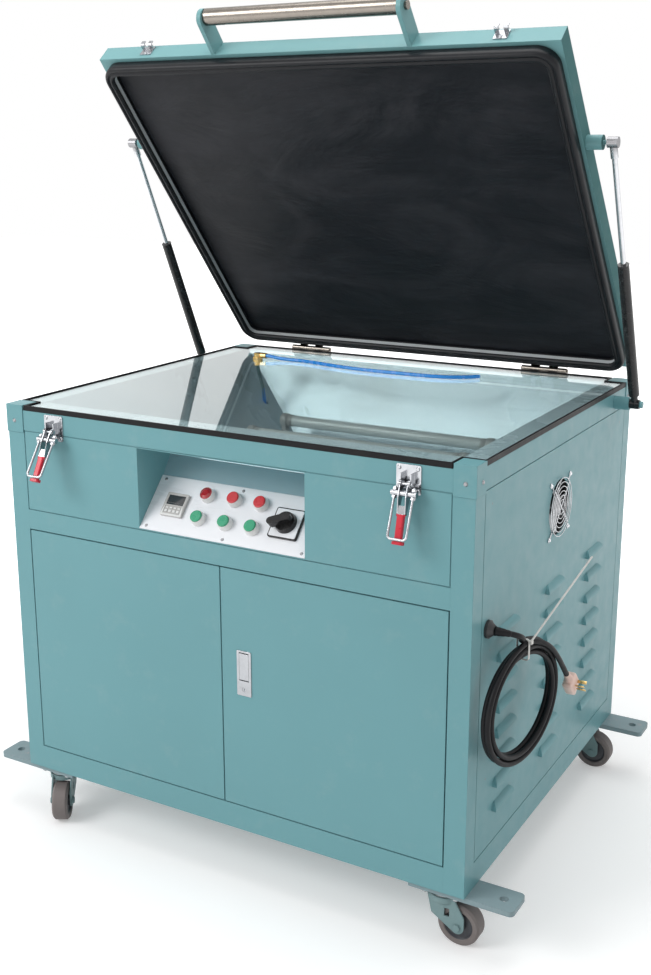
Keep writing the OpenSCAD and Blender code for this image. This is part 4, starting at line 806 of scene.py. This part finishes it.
SIDE_FACE = 497.05                     # x of the right side panel's outer face
side_screws = [screw(lambda a, y, z, q=q: P(SIDE_FACE + a, q[0] + y, q[1] + z), 3.2, 1.6)
               for q in ((-341, 437), (-343, 194), (352, 92), (352, 700), (-352, 700))]
verts, faces = merge(side_screws)
piece("side_screws", verts, faces, "cabinet", [screw_steel])

# ---------------------------------------------------------------- stage and light
floor_mesh = bpy.data.meshes.new("floor")
floor_mesh.from_pydata([(-12, -12, 0), (12, -12, 0), (12, 12, 0), (-12, 12, 0)], [], [(0, 1, 2, 3)])
floor = bpy.data.objects.new("floor", floor_mesh)
bpy.context.collection.objects.link(floor)


def background_rays(tree):
    """1 for the rays that show the white background: camera, glossy and transmission rays."""
    path = tree.nodes.new("ShaderNodeLightPath")
    shown = path.outputs["Is Camera Ray"]
    for kind in ("Is Glossy Ray", "Is Transmission Ray"):
        either = tree.nodes.new("ShaderNodeMath")
        either.operation = "MAXIMUM"
        tree.links.new(shown, either.inputs[0])
        tree.links.new(path.outputs[kind], either.inputs[1])
        shown = either.outputs[0]
    return shown


def make_floor():
    """Pale floor that keeps its shadow and goes over into the white background."""
    m = Nodes("floor")
    m.set(Base_Color=m.mix(m.noise(0.8), (0.80, 0.80, 0.80, 1), (0.84, 0.84, 0.84, 1)))
    m.bsdf.inputs["Roughness"].default_value = 0.9
    m.bsdf.inputs["Specular IOR Level"].default_value = 0.1
    away = m.tree.nodes.new("ShaderNodeVectorMath")
    away.operation = "LENGTH"
    m.put(away.inputs[0], m.where)
    glow = m.add("ShaderNodeEmission")
    m.put(glow.inputs["Strength"], m.span(away.outputs["Value"], 0.9, 2.6, 0.30, 1.0))
    both = m.tree.nodes.new("ShaderNodeAddShader")
    m.put(both.inputs[0], m.bsdf.outputs[0])
    m.put(both.inputs[1], glow.outputs[0])
    pick = m.tree.nodes.new("ShaderNodeMixShader")
    m.put(pick.inputs[0], background_rays(m.tree))
    m.put(pick.inputs[1], m.bsdf.outputs[0])
    m.put(pick.inputs[2], both.outputs[0])
    m.put(m.tree.nodes["Material Output"].inputs["Surface"], pick.outputs[0])
    return m.mat


floor_mesh.materials.append(make_floor())


def make_world():
    """White to the camera, in reflections and through glass; a soft sky for the light."""
    world = bpy.data.worlds.new("world")
    bpy.context.scene.world = world
    world.use_nodes = True
    tree = world.node_tree
    tree.nodes.clear()

    def add(kind, *links, **values):
        n = tree.nodes.new(kind)
        for socket, source in links:
            tree.links.new(source, n.inputs[socket])
        for key, value in values.items():
            n.inputs[key.replace("_", " ")].default_value = value
        return n

    split = add("ShaderNodeSeparateXYZ", (0, add("ShaderNodeTexCoord").outputs["Generated"]))
    height = add("ShaderNodeMapRange", ("Value", split.outputs["Z"]), From_Min=-1.0).outputs["Result"]
    sky = add("ShaderNodeMapRange", ("Value", height), From_Min=0.46, From_Max=0.8,
              To_Min=0.52).outputs["Result"]
    soft = add("ShaderNodeBackground", ("Color", sky), Strength=0.62)
    white = add("ShaderNodeBackground", Color=(1, 1, 1, 1), Strength=1.0)
    pick = add("ShaderNodeMixShader", (0, background_rays(tree)), (1, soft.outputs[0]),
               (2, white.outputs[0]))
    tree.links.new(pick.outputs[0], add("ShaderNodeOutputWorld").inputs["Surface"])


make_world()


def area_light(name, at, aim, size, power, colour=(1, 1, 1)):
    light = bpy.data.lights.new(name, "AREA")
    light.shape = "RECTANGLE"
    light.size, light.size_y = size
    light.energy = power
    light.color = colour
    ob = bpy.data.objects.new(name, light)
    bpy.context.collection.objects.link(ob)
    ob.location = at
    ob.rotation_euler = (Vector(aim) - Vector(at)).to_track_quat("-Z", "Y").to_euler()


area_light("key", (-2.6, -3.6, 3.2), (0, 0, 0.6), (2.6, 2.0), 120)
area_light("top", (0.2, 0.4, 4.0), (0, 0, 0.8), (3.0, 3.0), 70)
area_light("side", (4.2, -0.8, 0.9), (0, 0, 0.6), (2.0, 1.6), 2)

bpy.context.scene.view_settings.view_transform = "Standard"
